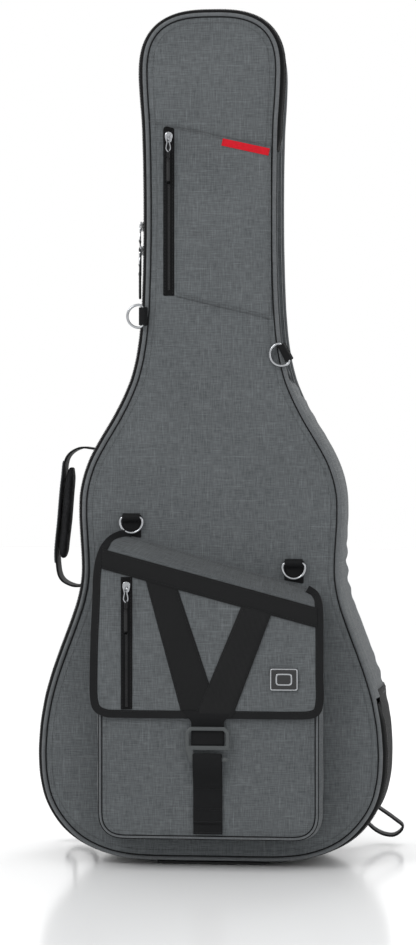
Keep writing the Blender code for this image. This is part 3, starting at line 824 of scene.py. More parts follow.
def heather_weave() -> bpy.types.NodeTree:
    """Return the group for a two-tone plain weave with uneven threads both ways."""

    def build(tree: bpy.types.NodeTree, given: dict) -> dict:
        """Draw the threads, their uneven runs and the weave's relief."""
        vector = given["Cloth"]
        warp = stretched_noise(tree, vector, (760.0, 70.0, 1.0), 2.0)
        weft = stretched_noise(tree, vector, (70.0, 760.0, 1.0), 2.0)
        slub_up = stretched_noise(tree, vector, (380.0, 20.0, 1.0), 1.0)
        slub_over = stretched_noise(tree, vector, (16.0, 380.0, 1.0), 1.0)
        cloud = stretched_noise(tree, vector, (9.0, 9.0, 1.0), 2.0)
        fine = sums(tree, "SUBTRACT", sums(tree, "ADD", warp, weft), 1.0)
        runs = sums(tree, "SUBTRACT", sums(tree, "MAXIMUM", slub_up, slub_over), 0.60)
        runs = sums(tree, "MULTIPLY", sums(tree, "MAXIMUM", runs, 0.0), 2.2)
        shade = sums(
            tree,
            "ADD",
            sums(tree, "MULTIPLY", fine, given["Fleck"]),
            sums(tree, "MULTIPLY", runs, given["Slub"]),
        )
        shade = sums(tree, "ADD", shade, sums(tree, "MULTIPLY", sums(tree, "SUBTRACT", cloud, 0.5), 0.25))
        split = wire(tree, "ShaderNodeSeparateXYZ", {"Vector": vector})
        turns = sums(tree, "DIVIDE", 2 * math.pi, given["Pitch"])
        over = sums(tree, "SINE", sums(tree, "MULTIPLY", split.outputs["X"], turns))
        up = sums(tree, "SINE", sums(tree, "MULTIPLY", split.outputs["Y"], turns))
        height = sums(tree, "ADD", sums(tree, "MULTIPLY", over, up), sums(tree, "MULTIPLY", fine, 2.0))
        return {"Shade": sums(tree, "ADD", shade, 0.42), "Height": height}

    inputs = {"Cloth": None, "Fleck": 1.1, "Slub": 0.8, "Pitch": 0.0011}
    return shader_group("heather weave", inputs, ("Shade", "Height"), build)


def webbing_ribs() -> bpy.types.NodeTree:
    """Return the group for close ribs across a strap."""

    def build(tree: bpy.types.NodeTree, given: dict) -> dict:
        """Draw the ribs and the fine herringbone over them."""
        split = wire(tree, "ShaderNodeSeparateXYZ", {"Vector": given["Cloth"]})
        turns = sums(tree, "DIVIDE", 2 * math.pi, given["Pitch"])
        slant = sums(tree, "ABSOLUTE", sums(tree, "SINE", sums(tree, "MULTIPLY", split.outputs["X"], 420.0)))
        along = sums(tree, "ADD", split.outputs["Y"], sums(tree, "MULTIPLY", slant, 0.0006))
        ribs = sums(tree, "SINE", sums(tree, "MULTIPLY", along, turns))
        fuzz = stretched_noise(tree, given["Cloth"], (900.0, 160.0, 1.0), 2.0)
        shade = sums(tree, "ADD", sums(tree, "MULTIPLY", ribs, 0.22), sums(tree, "MULTIPLY", fuzz, 0.6))
        return {
            "Shade": sums(tree, "ADD", shade, 0.1),
            "Height": sums(tree, "ADD", ribs, sums(tree, "MULTIPLY", fuzz, 0.8)),
        }

    return shader_group("webbing ribs", {"Cloth": None, "Pitch": 0.0013}, ("Shade", "Height"), build)


def handling() -> bpy.types.NodeTree:
    """Return the group for lint, rubbed patches and smears that any surface picks up."""

    def build(tree: bpy.types.NodeTree, given: dict) -> dict:
        """Mix a broad smear with small specks."""
        noise_node = wire(
            tree, "ShaderNodeTexNoise", {"Vector": given["Place"], "Scale": given["Scale"], "Detail": 4.0}
        )
        specks = wire(tree, "ShaderNodeTexVoronoi", {"Vector": given["Place"], "Scale": 340.0})
        near = sums(tree, "SUBTRACT", 0.12, specks.outputs["Distance"])
        lint = sums(tree, "MULTIPLY", sums(tree, "MAXIMUM", near, 0.0), 3.0)
        smear = noise_node.outputs["Fac"]
        gate = sums(tree, "GREATER_THAN", smear, 0.62)
        return {"Smear": smear, "Lint": sums(tree, "MULTIPLY", lint, gate)}

    return shader_group("handling", {"Place": None, "Scale": 14.0}, ("Smear", "Lint"), build)


@dataclass(frozen=True)
class Finish:
    """A surface's colours and gloss. Each kind of finish adds its own relief.

    Attributes:
        name: the material's name.
        slot: the record's material slot.
        dark: the darker colour, linear.
        light: the lighter colour, linear.
        roughness: the middle roughness.
        sheen: how much soft cloth sheen the surface has.
        metallic: 1 for bare metal, 0 for everything else.
        specular: the strength of the surface's mirror-like reflection.
        relief: the height of the surface's fine relief, in metres.
    """

    name: str
    slot: str
    dark: tuple[float, float, float]
    light: tuple[float, float, float]
    roughness: float = 0.85
    sheen: float = 0.0
    metallic: float = 0.0
    specular: float = 0.5
    relief: float = 0.0001

    def pattern(self, tree: bpy.types.NodeTree, place: Socket, cloth: Socket) -> tuple[Socket, Socket]:
        """Return the finish's own shade and height.

        Args:
            tree: the material's tree.
            place: the object's coordinates.
            cloth: the piece's cloth coordinates in metres.

        Returns:
            A shade from 0 to 1 that mixes the two colours, and a height.
        """
        grain = wire(tree, "ShaderNodeTexNoise", {"Vector": place, "Scale": 700.0, "Detail": 3.0})
        return grain.outputs["Fac"], grain.outputs["Fac"]

    def make(self) -> bpy.types.Material:
        """Return the finish's material, made once."""
        if self.name in bpy.data.materials:
            return bpy.data.materials[self.name]
        material = bpy.data.materials.new(self.name)
        material.use_nodes = True
        tree = material.node_tree
        shader = tree.nodes["Principled BSDF"]
        place = wire(tree, "ShaderNodeTexCoord").outputs["Object"]
        cloth = wire(tree, "ShaderNodeUVMap", uv_map=CLOTH_UV).outputs["UV"]
        shade, height = self.pattern(tree, place, cloth)
        worn = wire(tree, "ShaderNodeGroup", node_tree=handling())
        tree.links.new(place, worn.inputs["Place"])
        mix = wire(tree, "ShaderNodeMix", {"Factor": shade}, data_type="RGBA", clamp_factor=True)
        colour_in = [socket for socket in mix.inputs if socket.type == "RGBA"]
        colour_in[0].default_value, colour_in[1].default_value = (*self.dark, 1.0), (*self.light, 1.0)
        mixed = next(socket for socket in mix.outputs if socket.type == "RGBA")
        dusty = wire(
            tree, "ShaderNodeMix", {"Factor": worn.outputs["Lint"]}, data_type="RGBA", clamp_factor=True
        )
        dusty_in = [socket for socket in dusty.inputs if socket.type == "RGBA"]
        tree.links.new(mixed, dusty_in[0])
        dusty_in[1].default_value = (*[min(1.0, channel * 1.6 + 0.01) for channel in self.light], 1.0)
        tree.links.new(
            next(socket for socket in dusty.outputs if socket.type == "RGBA"), shader.inputs["Base Color"]
        )
        smear = sums(tree, "MULTIPLY", sums(tree, "SUBTRACT", worn.outputs["Smear"], 0.5), 0.3)
        tree.links.new(sums(tree, "ADD", smear, self.roughness), shader.inputs["Roughness"])
        bump = wire(tree, "ShaderNodeBump", {"Height": height, "Distance": self.relief, "Strength": 1.0})
        tree.links.new(bump.outputs["Normal"], shader.inputs["Normal"])
        shader.inputs["Metallic"].default_value = self.metallic
        shader.inputs["Specular IOR Level"].default_value = self.specular
        shader.inputs["Sheen Weight"].default_value = self.sheen
        shader.inputs["Sheen Roughness"].default_value = 0.4
        return material


@dataclass(frozen=True)
class Heather(Finish):
    """Two-tone canvas with uneven threads."""

    slub: float = 0.8
    pitch: float = 0.0011

    def pattern(self, tree: bpy.types.NodeTree, place: Socket, cloth: Socket) -> tuple[Socket, Socket]:
        """Return the weave's shade and height."""
        weave = wire(tree, "ShaderNodeGroup", node_tree=heather_weave())
        tree.links.new(cloth, weave.inputs["Cloth"])
        weave.inputs["Slub"].default_value = self.slub
        weave.inputs["Pitch"].default_value = self.pitch
        return weave.outputs["Shade"], weave.outputs["Height"]


@dataclass(frozen=True)
class Webbing(Finish):
    """Ribbed nylon strap."""

    pitch: float = 0.0013

    def pattern(self, tree: bpy.types.NodeTree, place: Socket, cloth: Socket) -> tuple[Socket, Socket]:
        """Return the ribs' shade and height."""
        ribs = wire(tree, "ShaderNodeGroup", node_tree=webbing_ribs())
        tree.links.new(cloth, ribs.inputs["Cloth"])
        ribs.inputs["Pitch"].default_value = self.pitch
        return ribs.outputs["Shade"], ribs.outputs["Height"]


@dataclass(frozen=True)
class Plush(Finish):
    """Short brushed pile or open spacer mesh."""

    cell: float = 0.0022

    def pattern(self, tree: bpy.types.NodeTree, place: Socket, cloth: Socket) -> tuple[Socket, Socket]:
        """Return the pile's shade and height."""
        cells = wire(tree, "ShaderNodeTexVoronoi", {"Vector": place, "Scale": 1.0 / self.cell})
        tufts = wire(tree, "ShaderNodeTexNoise", {"Vector": place, "Scale": 160.0, "Detail": 4.0})
        height = sums(
            tree, "ADD", cells.outputs["Distance"], sums(tree, "MULTIPLY", tufts.outputs["Fac"], 0.7)
        )
        return sums(tree, "MULTIPLY", height, 0.8), height


class Finishes:
    """Every finish of the bag."""

    GREY = Heather(
        "heather canvas",
        "grey_cloth",
        (0.047, 0.052, 0.0555),
        (0.129, 0.141, 0.148),
        0.88,
        0.1,
        relief=0.00012,
    )
    # A copy of the grey canvas about a sixth darker: painted shade for the flap's slanting top strip.
    GREY_SHADED = Heather(
        "heather canvas, painted shade",
        "grey_cloth",
        (0.039, 0.043, 0.046),
        (0.107, 0.117, 0.123),
        0.9,
        0.05,
        relief=0.00012,
    )
    PIPING = Heather(
        "grey piping cloth", "grey_cloth", (0.070, 0.076, 0.080), (0.125, 0.134, 0.141), 0.8, 0.12, slub=0.3
    )
    BLACK = Heather(
        "black pack cloth",
        "black_cloth",
        (0.003, 0.0032, 0.0035),
        (0.012, 0.0125, 0.0135),
        0.75,
        0.03,
        specular=0.2,
        slub=0.2,
    )
    BINDING = Webbing(
        "black binding tape",
        "black_webbing",
        (0.003, 0.0032, 0.0036),
        (0.012, 0.0125, 0.0135),
        0.7,
        0.02,
        specular=0.16,
    )
    WEB = Webbing(
        "black nylon webbing",
        "black_webbing",
        (0.0025, 0.0027, 0.003),
        (0.011, 0.0115, 0.0125),
        0.62,
        0.02,
        specular=0.12,
    )
    SATIN = Webbing(
        "satin seat webbing",
        "black_webbing",
        (0.0022, 0.0024, 0.0027),
        (0.0085, 0.0088, 0.0095),
        0.5,
        0.02,
        specular=0.16,
    )
    TAPE = Webbing(
        "zip tape",
        "black_webbing",
        (0.0022, 0.0022, 0.0025),
        (0.007, 0.0074, 0.008),
        0.75,
        0.01,
        specular=0.12,
        pitch=0.0009,
    )
    TEETH = Finish(
        "zip coil",
        "black_plastic",
        (0.006, 0.006, 0.0065),
        (0.018, 0.0185, 0.02),
        0.42,
        specular=0.35,
        relief=0.00002,
    )
    PLUSH = Plush(
        "plush lining", "plush_lining", (0.03, 0.031, 0.033), (0.085, 0.088, 0.092), 0.95, 0.4, relief=0.0006
    )
    MESH = Plush(
        "spacer mesh",
        "black_cloth",
        (0.003, 0.003, 0.0034),
        (0.018, 0.0185, 0.020),
        0.85,
        0.08,
        specular=0.2,
        relief=0.0008,
    )
    RUBBER = Finish(
        "moulded rubber",
        "rubber",
        (0.006, 0.006, 0.0065),
        (0.014, 0.0145, 0.015),
        0.55,
        specular=0.3,
        relief=0.00006,
    )
    PLASTIC = Finish(
        "moulded plastic",
        "black_plastic",
        (0.007, 0.0073, 0.0078),
        (0.013, 0.0135, 0.0145),
        0.38,
        relief=0.00003,
    )
    CHROME = Finish(
        "plated wire",
        "chrome_wire",
        (0.30, 0.31, 0.32),
        (0.44, 0.45, 0.47),
        0.14,
        metallic=1.0,
        relief=0.00001,
    )
    SMOKE = Finish(
        "smoked badge metal",
        "gunmetal",
        (0.006, 0.0065, 0.007),
        (0.012, 0.0125, 0.0135),
        0.16,
        specular=0.5,
        relief=0.00002,
    )
    HOOK = Finish(
        "painted hook metal",
        "gunmetal",
        (0.040, 0.045, 0.046),
        (0.075, 0.082, 0.084),
        0.5,
        metallic=0.25,
        relief=0.00004,
    )
    RED = Heather(
        "crimson label cloth",
        "red_cloth",
        (0.42, 0.0005, 0.006),
        (0.60, 0.001, 0.016),
        0.6,
        0.02,
        specular=0.2,
        slub=0.1,
    )
    THREAD = Finish(
        "grey thread", "grey_cloth", (0.035, 0.038, 0.041), (0.085, 0.09, 0.095), 0.7, 0.1, relief=0.00003
    )
    # Near-black cord finish: painted shadow laid in the seams beside the lid and pocket piping.
    SEAM_SHADOW = Finish(
        "painted seam shadow cord",
        "black_cloth",
        (0.006, 0.0065, 0.007),
        (0.016, 0.0165, 0.018),
        0.85,
        specular=0.1,
        relief=0.00003,
    )
    BLACK_THREAD = Finish(
        "black thread",
        "black_cloth",
        (0.006, 0.006, 0.0065),
        (0.022, 0.023, 0.025),
        0.6,
        0.05,
        specular=0.2,
        relief=0.00003,
    )


def dress(
    obj: bpy.types.Object,
    finish: Finish,
    body: str,
    *stands_for: str,
    bend: tuple[str, Vector, Vector] | None = None,
    crease: float = 40.0,
) -> bpy.types.Object:
    """Give a finished piece its material and its body.

    Args:
        obj: the piece, a plain mesh at the origin.
        finish: the finish it gets.
        body: the frame body it rides on, or the first of two where it bends.
        stands_for: the frame nodes it replaces.
        bend: the second body, and the start and end of the bend.
        crease: edges sharper than this, in degrees, stay crisp.

    Returns:
        The piece.
    """
    obj.data.materials.clear()
    obj.data.materials.append(finish.make())
    obj.data.polygons.foreach_set("use_smooth", np.ones(len(obj.data.polygons), bool))
    obj.data.set_sharp_from_angle(angle=math.radians(crease))
    if bend:
        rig.blend(obj, body, *bend)
    else:
        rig.ride(obj, body)
    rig.slot(obj, finish.slot)
    if stands_for:
        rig.replaces(obj, *stands_for)
    LOG.info("%s: %d faces, on %s", obj.name, len(obj.data.polygons), body)
    return obj


def cord(
    name: str,
    path: Sequence[Vector],
    radius: float,
    finish: Finish,
    body: str,
    *stands_for: str,
    sides: int = 10,
) -> bpy.types.Object:
    """Make a round cord along a path that comes back to its start, and dress it."""
    return dress(tube(name, path, radius, closed=True, sides=sides), finish, body, *stands_for)


# Rows of stitches and zip teeth -------------------------------------------------------------------


class RowShape(Enum):
    """What a row repeats."""

    STITCH = "stitch"
    TOOTH = "tooth"


def row_tree(shape: RowShape) -> bpy.types.GeometryNodeTree:
    """Return the tree that sets a small shape at even steps along edges.

    Args:
        shape: whether the rows are of stitches or of zip teeth.

    Returns:
        The tree, with named inputs for its sizes.
    """
    name = f"{shape.value} row"
    if name in bpy.data.node_groups:
        return bpy.data.node_groups[name]
    tree = bpy.data.node_groups.new(name, "GeometryNodeTree")
    face = tree.interface
    face.new_socket(name="Line", in_out="INPUT", socket_type="NodeSocketGeometry")
    sizes = (("Pitch", 0.004), ("Length", 0.003), ("Width", 0.0008), ("Height", 0.0006))
    for key, default in sizes:
        face.new_socket(name=key, in_out="INPUT", socket_type="NodeSocketFloat").default_value = default
    face.new_socket(name="Across", in_out="INPUT", socket_type="NodeSocketVector").default_value = (1, 0, 0)
    face.new_socket(name="Finish", in_out="INPUT", socket_type="NodeSocketMaterial")
    face.new_socket(name="Row", in_out="OUTPUT", socket_type="NodeSocketGeometry")
    given = tree.nodes.new("NodeGroupInput").outputs
    curve = wire(tree, "GeometryNodeMeshToCurve", {0: given["Line"]})
    steps = wire(
        tree,
        "GeometryNodeResampleCurve",
        {"Curve": curve.outputs[0], "Length": given["Pitch"]},
        mode="LENGTH",
    )
    if shape is RowShape.STITCH:
        one = wire(tree, "GeometryNodeMeshUVSphere", {"Segments": 6, "Rings": 4, "Radius": 0.5})
    else:
        one = wire(tree, "GeometryNodeMeshCube", {"Size": (1.0, 1.0, 1.0)})
    size = wire(
        tree, "ShaderNodeCombineXYZ", {"X": given["Width"], "Y": given["Height"], "Z": given["Length"]}
    )
    tangent = wire(tree, "GeometryNodeInputTangent")
    along = wire(tree, "FunctionNodeAlignRotationToVector", {"Vector": tangent.outputs[0]}, axis="Z")
    turned = wire(
        tree,
        "FunctionNodeAlignRotationToVector",
        {"Rotation": along.outputs[0], "Vector": given["Across"]},
        axis="X",
        pivot_axis="Z",
    )
    placed = wire(
        tree,
        "GeometryNodeInstanceOnPoints",
        {
            "Points": steps.outputs[0],
            "Instance": one.outputs[0],
            "Rotation": turned.outputs[0],
            "Scale": size.outputs[0],
        },
    )
    real = wire(tree, "GeometryNodeRealizeInstances", {0: placed.outputs[0]})
    dressed = wire(
        tree, "GeometryNodeSetMaterial", {"Geometry": real.outputs[0], "Material": given["Finish"]}
    )
    tree.links.new(dressed.outputs[0], tree.nodes.new("NodeGroupOutput").inputs["Row"])
    return tree


@dataclass
class Row:
    """One kind of stitch or tooth along several lines, all on one body.

    Attributes:
        name: the piece's name.
        lines: the lines, each a list of points.
        finish: the thread's or coil's finish.
        body: the body it rides on.
        shape: what it repeats.
        pitch, length, width, height: the step and the size of each one.
        across: the direction that each one's width points along.
    """

    name: str
    lines: Sequence[Sequence[Vector]]
    finish: Finish
    body: str
    shape: RowShape = RowShape.STITCH
    pitch: float = 0.0042
    length: float = 0.0032
    width: float = 0.0008
    height: float = 0.0007
    across: Vector = Vector((1.0, 0.0, 0.0))

    def build(self, bend: tuple[str, Vector, Vector] | None = None) -> bpy.types.Object:
        """Lay the row and make it a plain mesh."""
        verts, edges = [], []
        for line in self.lines:
            edges += [(len(verts) + i, len(verts) + i + 1) for i in range(len(line) - 1)]
            verts += [tuple(point) for point in line]
        mesh = bpy.data.meshes.new(self.name)
        mesh.from_pydata(verts, edges, [])
        obj = bpy.data.objects.new(self.name, mesh)
        bpy.context.scene.collection.objects.link(obj)
        tree = row_tree(self.shape)
        modifier = obj.modifiers.new("row", "NODES")
        modifier.node_group = tree
        values = {
            "Pitch": self.pitch,
            "Length": self.length,
            "Width": self.width,
            "Height": self.height,
            "Across": tuple(self.across),
            "Finish": self.finish.make(),
        }
        for socket in tree.interface.items_tree:
            if socket.item_type == "SOCKET" and socket.in_out == "INPUT" and socket.name in values:
                modifier[socket.identifier] = values[socket.name]
        bpy.context.view_layer.update()
        settle(obj)
        return dress(obj, self.finish, self.body, bend=bend)


# Bag shell ----------------------------------------------------------------------------------------


def aim(obj: bpy.types.Object, outward: Callable[[Vector], Vector]) -> bpy.types.Object:
    """Turn an open sheet's faces to look along a direction given at each face's middle."""
    agree = sum(
        1 if face.normal.dot(outward(face.center)) > 0 else -1 for face in list(obj.data.polygons)[::7]
    )
    if agree < 0:
        obj.data.flip_normals()
    return obj


def from_axis(middle: Vector) -> Vector:
    """Return the direction away from the bag's upright middle, level with a point low in the bag."""
    return Vector((middle.x, 0.0, min(0.0, middle.z - 0.15) + max(0.0, middle.z - 1.05)))


@dataclass
class Shell:
    """The bag's walls, back, base and lining, all on the shell body.

    Attributes:
        wall_out: how far the wall's cloth stands outside the bag's outline.
        cloth: the cloth's thickness.
        swell: how far the padded wall bulges between its edges.
        guard_top: the height at which the black base guard ends.
        hinge_top: the height at which the hinge on the right ends and the zip starts.
        lining_in: how far the lining lies outside the bag's outline; less than 0 is inside.
        column: the step between the wall's columns of points.
    """

    wall_out: float = 0.003
    cloth: float = 0.0016
    swell: float = 0.0032
    guard_top: float = 0.2224
    hinge_top: float = 0.945
    lining_in: float = -0.0175
    column: float = 0.005

    def __post_init__(self) -> None:
        """Find the places along the contour where the cloths meet, and the seam's depth."""
        self.seam_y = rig.box("main_zip_shell_tape")[0].y
        self.tape_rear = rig.box("main_zip_shell_tape")[1].y
        self.guard_right = BAG.reach(self.guard_top, True)
        self.guard_left = BAG.reach(self.guard_top, False)
        self.hinge_end = BAG.reach(self.hinge_top, True)

    def gather(self, s: float, t: float) -> float:
        """Return how far the wall's bunched folds stand out, where the outline turns inwards."""
        place = BAG.at(s)
        left = place.x < 0
        strength = hump(place.y, 0.67, 0.07) + 0.9 * hump(
            place.y, 0.388, 0.04
        ) + 0.6 * hump(place.y, 0.24, 0.03)
        if left:
            strength *= 0.45 * (1 - ease((place.y - 0.31) / 0.03) * ease((0.60 - place.y) / 0.03))
        wave = math.sin(2 * math.pi * (s / 0.024 + 0.35 * ripple(t * 0.12, s, 0.05, 3.1)))
        return 0.0021 * strength * wave * math.sin(math.pi * t) ** 0.8

    def wall(self, s: float, t: float, front: float, lift: float = 0.0) -> Vector:
        """Return a place on the wall.

        Args:
            s: the distance along the bag's contour.
            t: 0 at the wall's front edge and 1 at the back's seam.
            front: the y of the wall's front edge.
            lift: how far above the cloth the place lies.

        Returns:
            The place.
        """
        flat = BAG.at(s)
        level = ease((flat.y - 0.02) / 0.06)
        patch = 1 - 0.8 * (flat.x < 0) * ease((flat.y - 0.31) / 0.03) * ease((0.60 - flat.y) / 0.03)
        slim = ease((flat.y - 0.60) / 0.08) * (flat.x > 0)
        full = 1.0 + 1.3 * (1 - ease((flat.y - 0.30) / 0.15)) * (flat.x > 0)
        bulge = self.swell * patch * full * (1 - slim) * math.sin(math.pi * t)
        out = self.wall_out - 0.0085 * slim * ease(t * 8 + 0.3) + lift + level * (bulge + self.gather(s, t))
        out += level * 0.0006 * ripple(s, t * 0.15, 0.045, 7.7)
        out -= 0.003 * ease((t - 0.93) / 0.07)
        place = BAG.at(s, out)
        return Vector((place.x, front + (rear_y(flat.y) - 0.003 - front) * t, place.y))

    def wall_cloth(
        self, name: str, start: float, end: float, front: float, lift: float = 0.0
    ) -> bpy.types.Object:
        """Make one stretch of the wall's cloth, its front edge turned in."""
        across = [0.0, 0.012, 0.03, *spread(0.08, 0.92, 0.07), 0.97, 1.0]
        obj = grid(
            name, spread(start, end, self.column), across, lambda s, t: self.wall(s, t, front, lift), 0.15
        )
        return thicken(aim(obj, from_axis), self.cloth)

    def walls(self) -> None:
        """Make the grey walls, the black base guard and the corded back seam."""
        zip_side = self.wall_cloth("wall_zip_side", self.hinge_end, self.guard_left, self.tape_rear)
        dress(zip_side, Finishes.GREY, "shell", "wall_cloth_zip_side", "wall_foam_left")
        hinge = self.wall_cloth("wall_hinge_side", self.guard_right, self.hinge_end, self.seam_y + 0.010)
        dress(hinge, Finishes.GREY, "shell", "wall_cloth_hinge_side", "wall_foam_right")
        stretch = (self.guard_left - 0.008, BAG.length + self.guard_right + 0.008)
        guard = self.wall_cloth("base_guard_cloth", *stretch, self.tape_rear, 0.0007)
        dress(guard, Finishes.BLACK, "shell", "base_guard")
        seam = [Vector((p.x, rear_y(p.y) - 0.0022, p.y)) for p in BAG.loop(0.0014, 0.007)]
        cord("back_piping", seam, 0.0024, Finishes.PIPING, "shell")
        seams = []
        for s in (self.guard_left - 0.004, self.guard_right + 0.004):
            seams.append([self.wall(s, t, self.tape_rear, 0.0008) for t in spread(0.02, 0.95, 0.03)])
        Row("guard_stitches", seams, Finishes.BLACK_THREAD, "shell", across=UP).build()

    def back(self) -> None:
        """Make the padded back and its lining."""

        def outer(x: float, z: float, d: float) -> Vector:
            """Return the back's outer face, which rolls into its seam."""
            soft = 0.0012 * ripple(x, z, 0.11, 1.3) + 0.0004 * ripple(x, z, 0.035, 5.2)
            return Vector((x, rear_y(z) - 0.0032 + 0.0030 * ease(d / 0.018) + soft * ease(d / 0.03), z))

        def inner(x: float, z: float, d: float) -> Vector:
            """Return the face behind the lining."""
            return Vector((x, rear_y(z) - 0.018, z))

        skin = slab("back_padded_cloth", BAG.loop(0.0004), 0.0085, outer, inner)
        dress(skin, Finishes.GREY, "shell", "back_cloth", "back_foam")
        line = [outer(p.x, p.y, 0.008) + Vector((0, 0.0003, 0)) for p in BAG.loop(-0.0075)]
        Row("back_stitches", [line + line[:1]], Finishes.THREAD, "shell", across=BACKWARD).build()

        def bed(x: float, z: float, d: float) -> Vector:
            """Return the lining's quilted inner face."""
            dimple = 0.0016 * abs(
                math.sin(math.pi * (x + z) / 0.09) * math.sin(math.pi * (x - z) / 0.09)
            ) ** 0.5
            return Vector((x, rear_y(z) - 0.0188 - dimple * ease(d / 0.02), z))

        lining = slab("back_plush", BAG.loop(self.lining_in - 0.001), 0.009, bed, inner)
        dress(lining, Finishes.PLUSH, "shell", "back_lining")
        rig.padded(lining, 0.7)

    def lining(self) -> None:
        """Make the wall's plush lining, which rolls over the padded rim to the zip."""
        rim = [
            (0.0, 0.0006), (-0.0016, -0.0), (-0.006, -0.0004), (-0.0115, 0.0), (-0.0152, 0.0012),
            (-0.0172, 0.0046),
        ]

        def place(s: float, v: float) -> Vector:
            """Return a place on the lining, from the rim at 0 to the back at 1."""
            flat = BAG.at(s)
            if v < len(rim):
                out, deep = rim[int(v)]
                spot = BAG.at(s, out)
                return Vector((spot.x, self.seam_y + deep, spot.y))
            t = (v - len(rim) + 1) / 8
            spot = BAG.at(s, self.lining_in + 0.0006 * ripple(s, t, 0.05, 9.0))
            front = self.seam_y + 0.0046
            return Vector((spot.x, front + (rear_y(flat.y) - 0.0185 - front) * t, spot.y))

        steps = [float(v) for v in range(len(rim) + 8)]
        obj = grid("wall_plush", spread(0.0, BAG.length, 0.008), steps, place, 0.006)
        aim(obj, lambda middle: Vector((-middle.x, -0.01, 0.15 - middle.z if middle.z < 0.15 else 0.0)))
        close_up(obj, 1e-5, outward=False)
        dress(thicken(obj, 0.0011), Finishes.PLUSH, "shell", "wall_lining")

    def base(self) -> None:
        """Make the ribbed rubber pad that the bag stands on."""
        low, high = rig.box("base_pad")
        def tread(x: float, y: float, d: float) -> Vector:
            """Return the pad's ribbed underside."""
            tread_groove_and_seam_shadow = 0.0009 * (math.sin(math.pi * x / 0.008) > 0.55) * (d > 0.008)
            return Vector((x, y, low.z + tread_groove_and_seam_shadow + 0.0012 * (1 - ease(d / 0.003))))

        outline = rounded_corners(corners_of(low, high, up=1), [0.012] * 4)
        pad = slab("base_rubber", outline, 0.003, lambda x, y, d: Vector((x, y, high.z)), tread)
        dress(pad, Finishes.RUBBER, "shell", "base_pad")


# Main zip -----------------------------------------------------------------------------------------


def fade(s: float, start: float, end: float) -> float:
    """Return how far the zip stands out at a place: less at its two ends and round the base."""
    place = BAG.at(s)
    low, head = ease((place.y - 0.006) / 0.05), ease((place.y - 0.99) / 0.06)
    return (
        0.45 + 0.55 * min(ease((s - start) / 0.02), ease((end - s) / 0.03))
    ) * (0.25 + 0.75 * low + 0.15 * head)


@dataclass
class MainZip:
    """The zip round the bag's edge: a tape and a row of teeth on each body.

    Attributes:
        tooth: the step from tooth to tooth.
        out: how far the teeth stand outside the bag's outline.
    """

    tooth: float = 0.0021
    out: float = 0.0056

    def build(self, shell: Shell) -> None:
        """Make both tapes and both rows of teeth."""
        start, end = shell.hinge_end, BAG.length + BAG.reach(0.215, True)
        along = spread(start, end, 0.006)

        def tape(name: str, profile: Sequence[Point2]) -> bpy.types.Object:
            """Make one tape from its (out, y) profile."""

            def place(s: float, v: float) -> Vector:
                """Return a place on the tape."""
                step = min(int(v), len(profile) - 2)
                out, y = (
                    profile[step][i] + (profile[step + 1][i] - profile[step][i]) * (v - step) for i in (0, 1)
                )
                spot = BAG.at(s, out * fade(s, start, end))
                return Vector((spot.x, y, spot.y))

            obj = grid(name, along, [float(i) for i in range(len(profile))], place, 0.004)
            return thicken(aim(lengthwise(obj), from_axis), 0.0009)

        seam = shell.seam_y
        shell_profile = (
            (self.out, seam + 0.0006), (0.0058, seam + 0.004), (0.0052, seam + 0.010), (
                0.0036, shell.tape_rear + 0.001
            )
        )
        dress(tape("shell_zip_tape", shell_profile), Finishes.TAPE, "shell", "main_zip_shell_tape")
        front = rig.box("main_zip_lid_tape")[0].y
        lid_profile = (
            (0.0, front - 0.0006), (0.0030, front + 0.0014), (0.0048, front + 0.006), (
                self.out, seam - 0.0014
            )
        )
        dress(tape("lid_zip_tape", lid_profile), Finishes.TAPE, "lid", "main_zip_lid_tape")
        for name, body, y in (
            ("shell_zip_teeth", "shell", seam + 0.0003), ("lid_zip_teeth", "lid", seam - 0.0013)
        ):
            line = at_depth([BAG.at(s, self.out * fade(s, start, end)) for s in along], y)
            sizes = (self.tooth, 0.0013, 0.0022, 0.0017)
            Row(name, [line], Finishes.TEETH, body, RowShape.TOOTH, *sizes, across=BACKWARD).build()


# Lid ----------------------------------------------------------------------------------------------


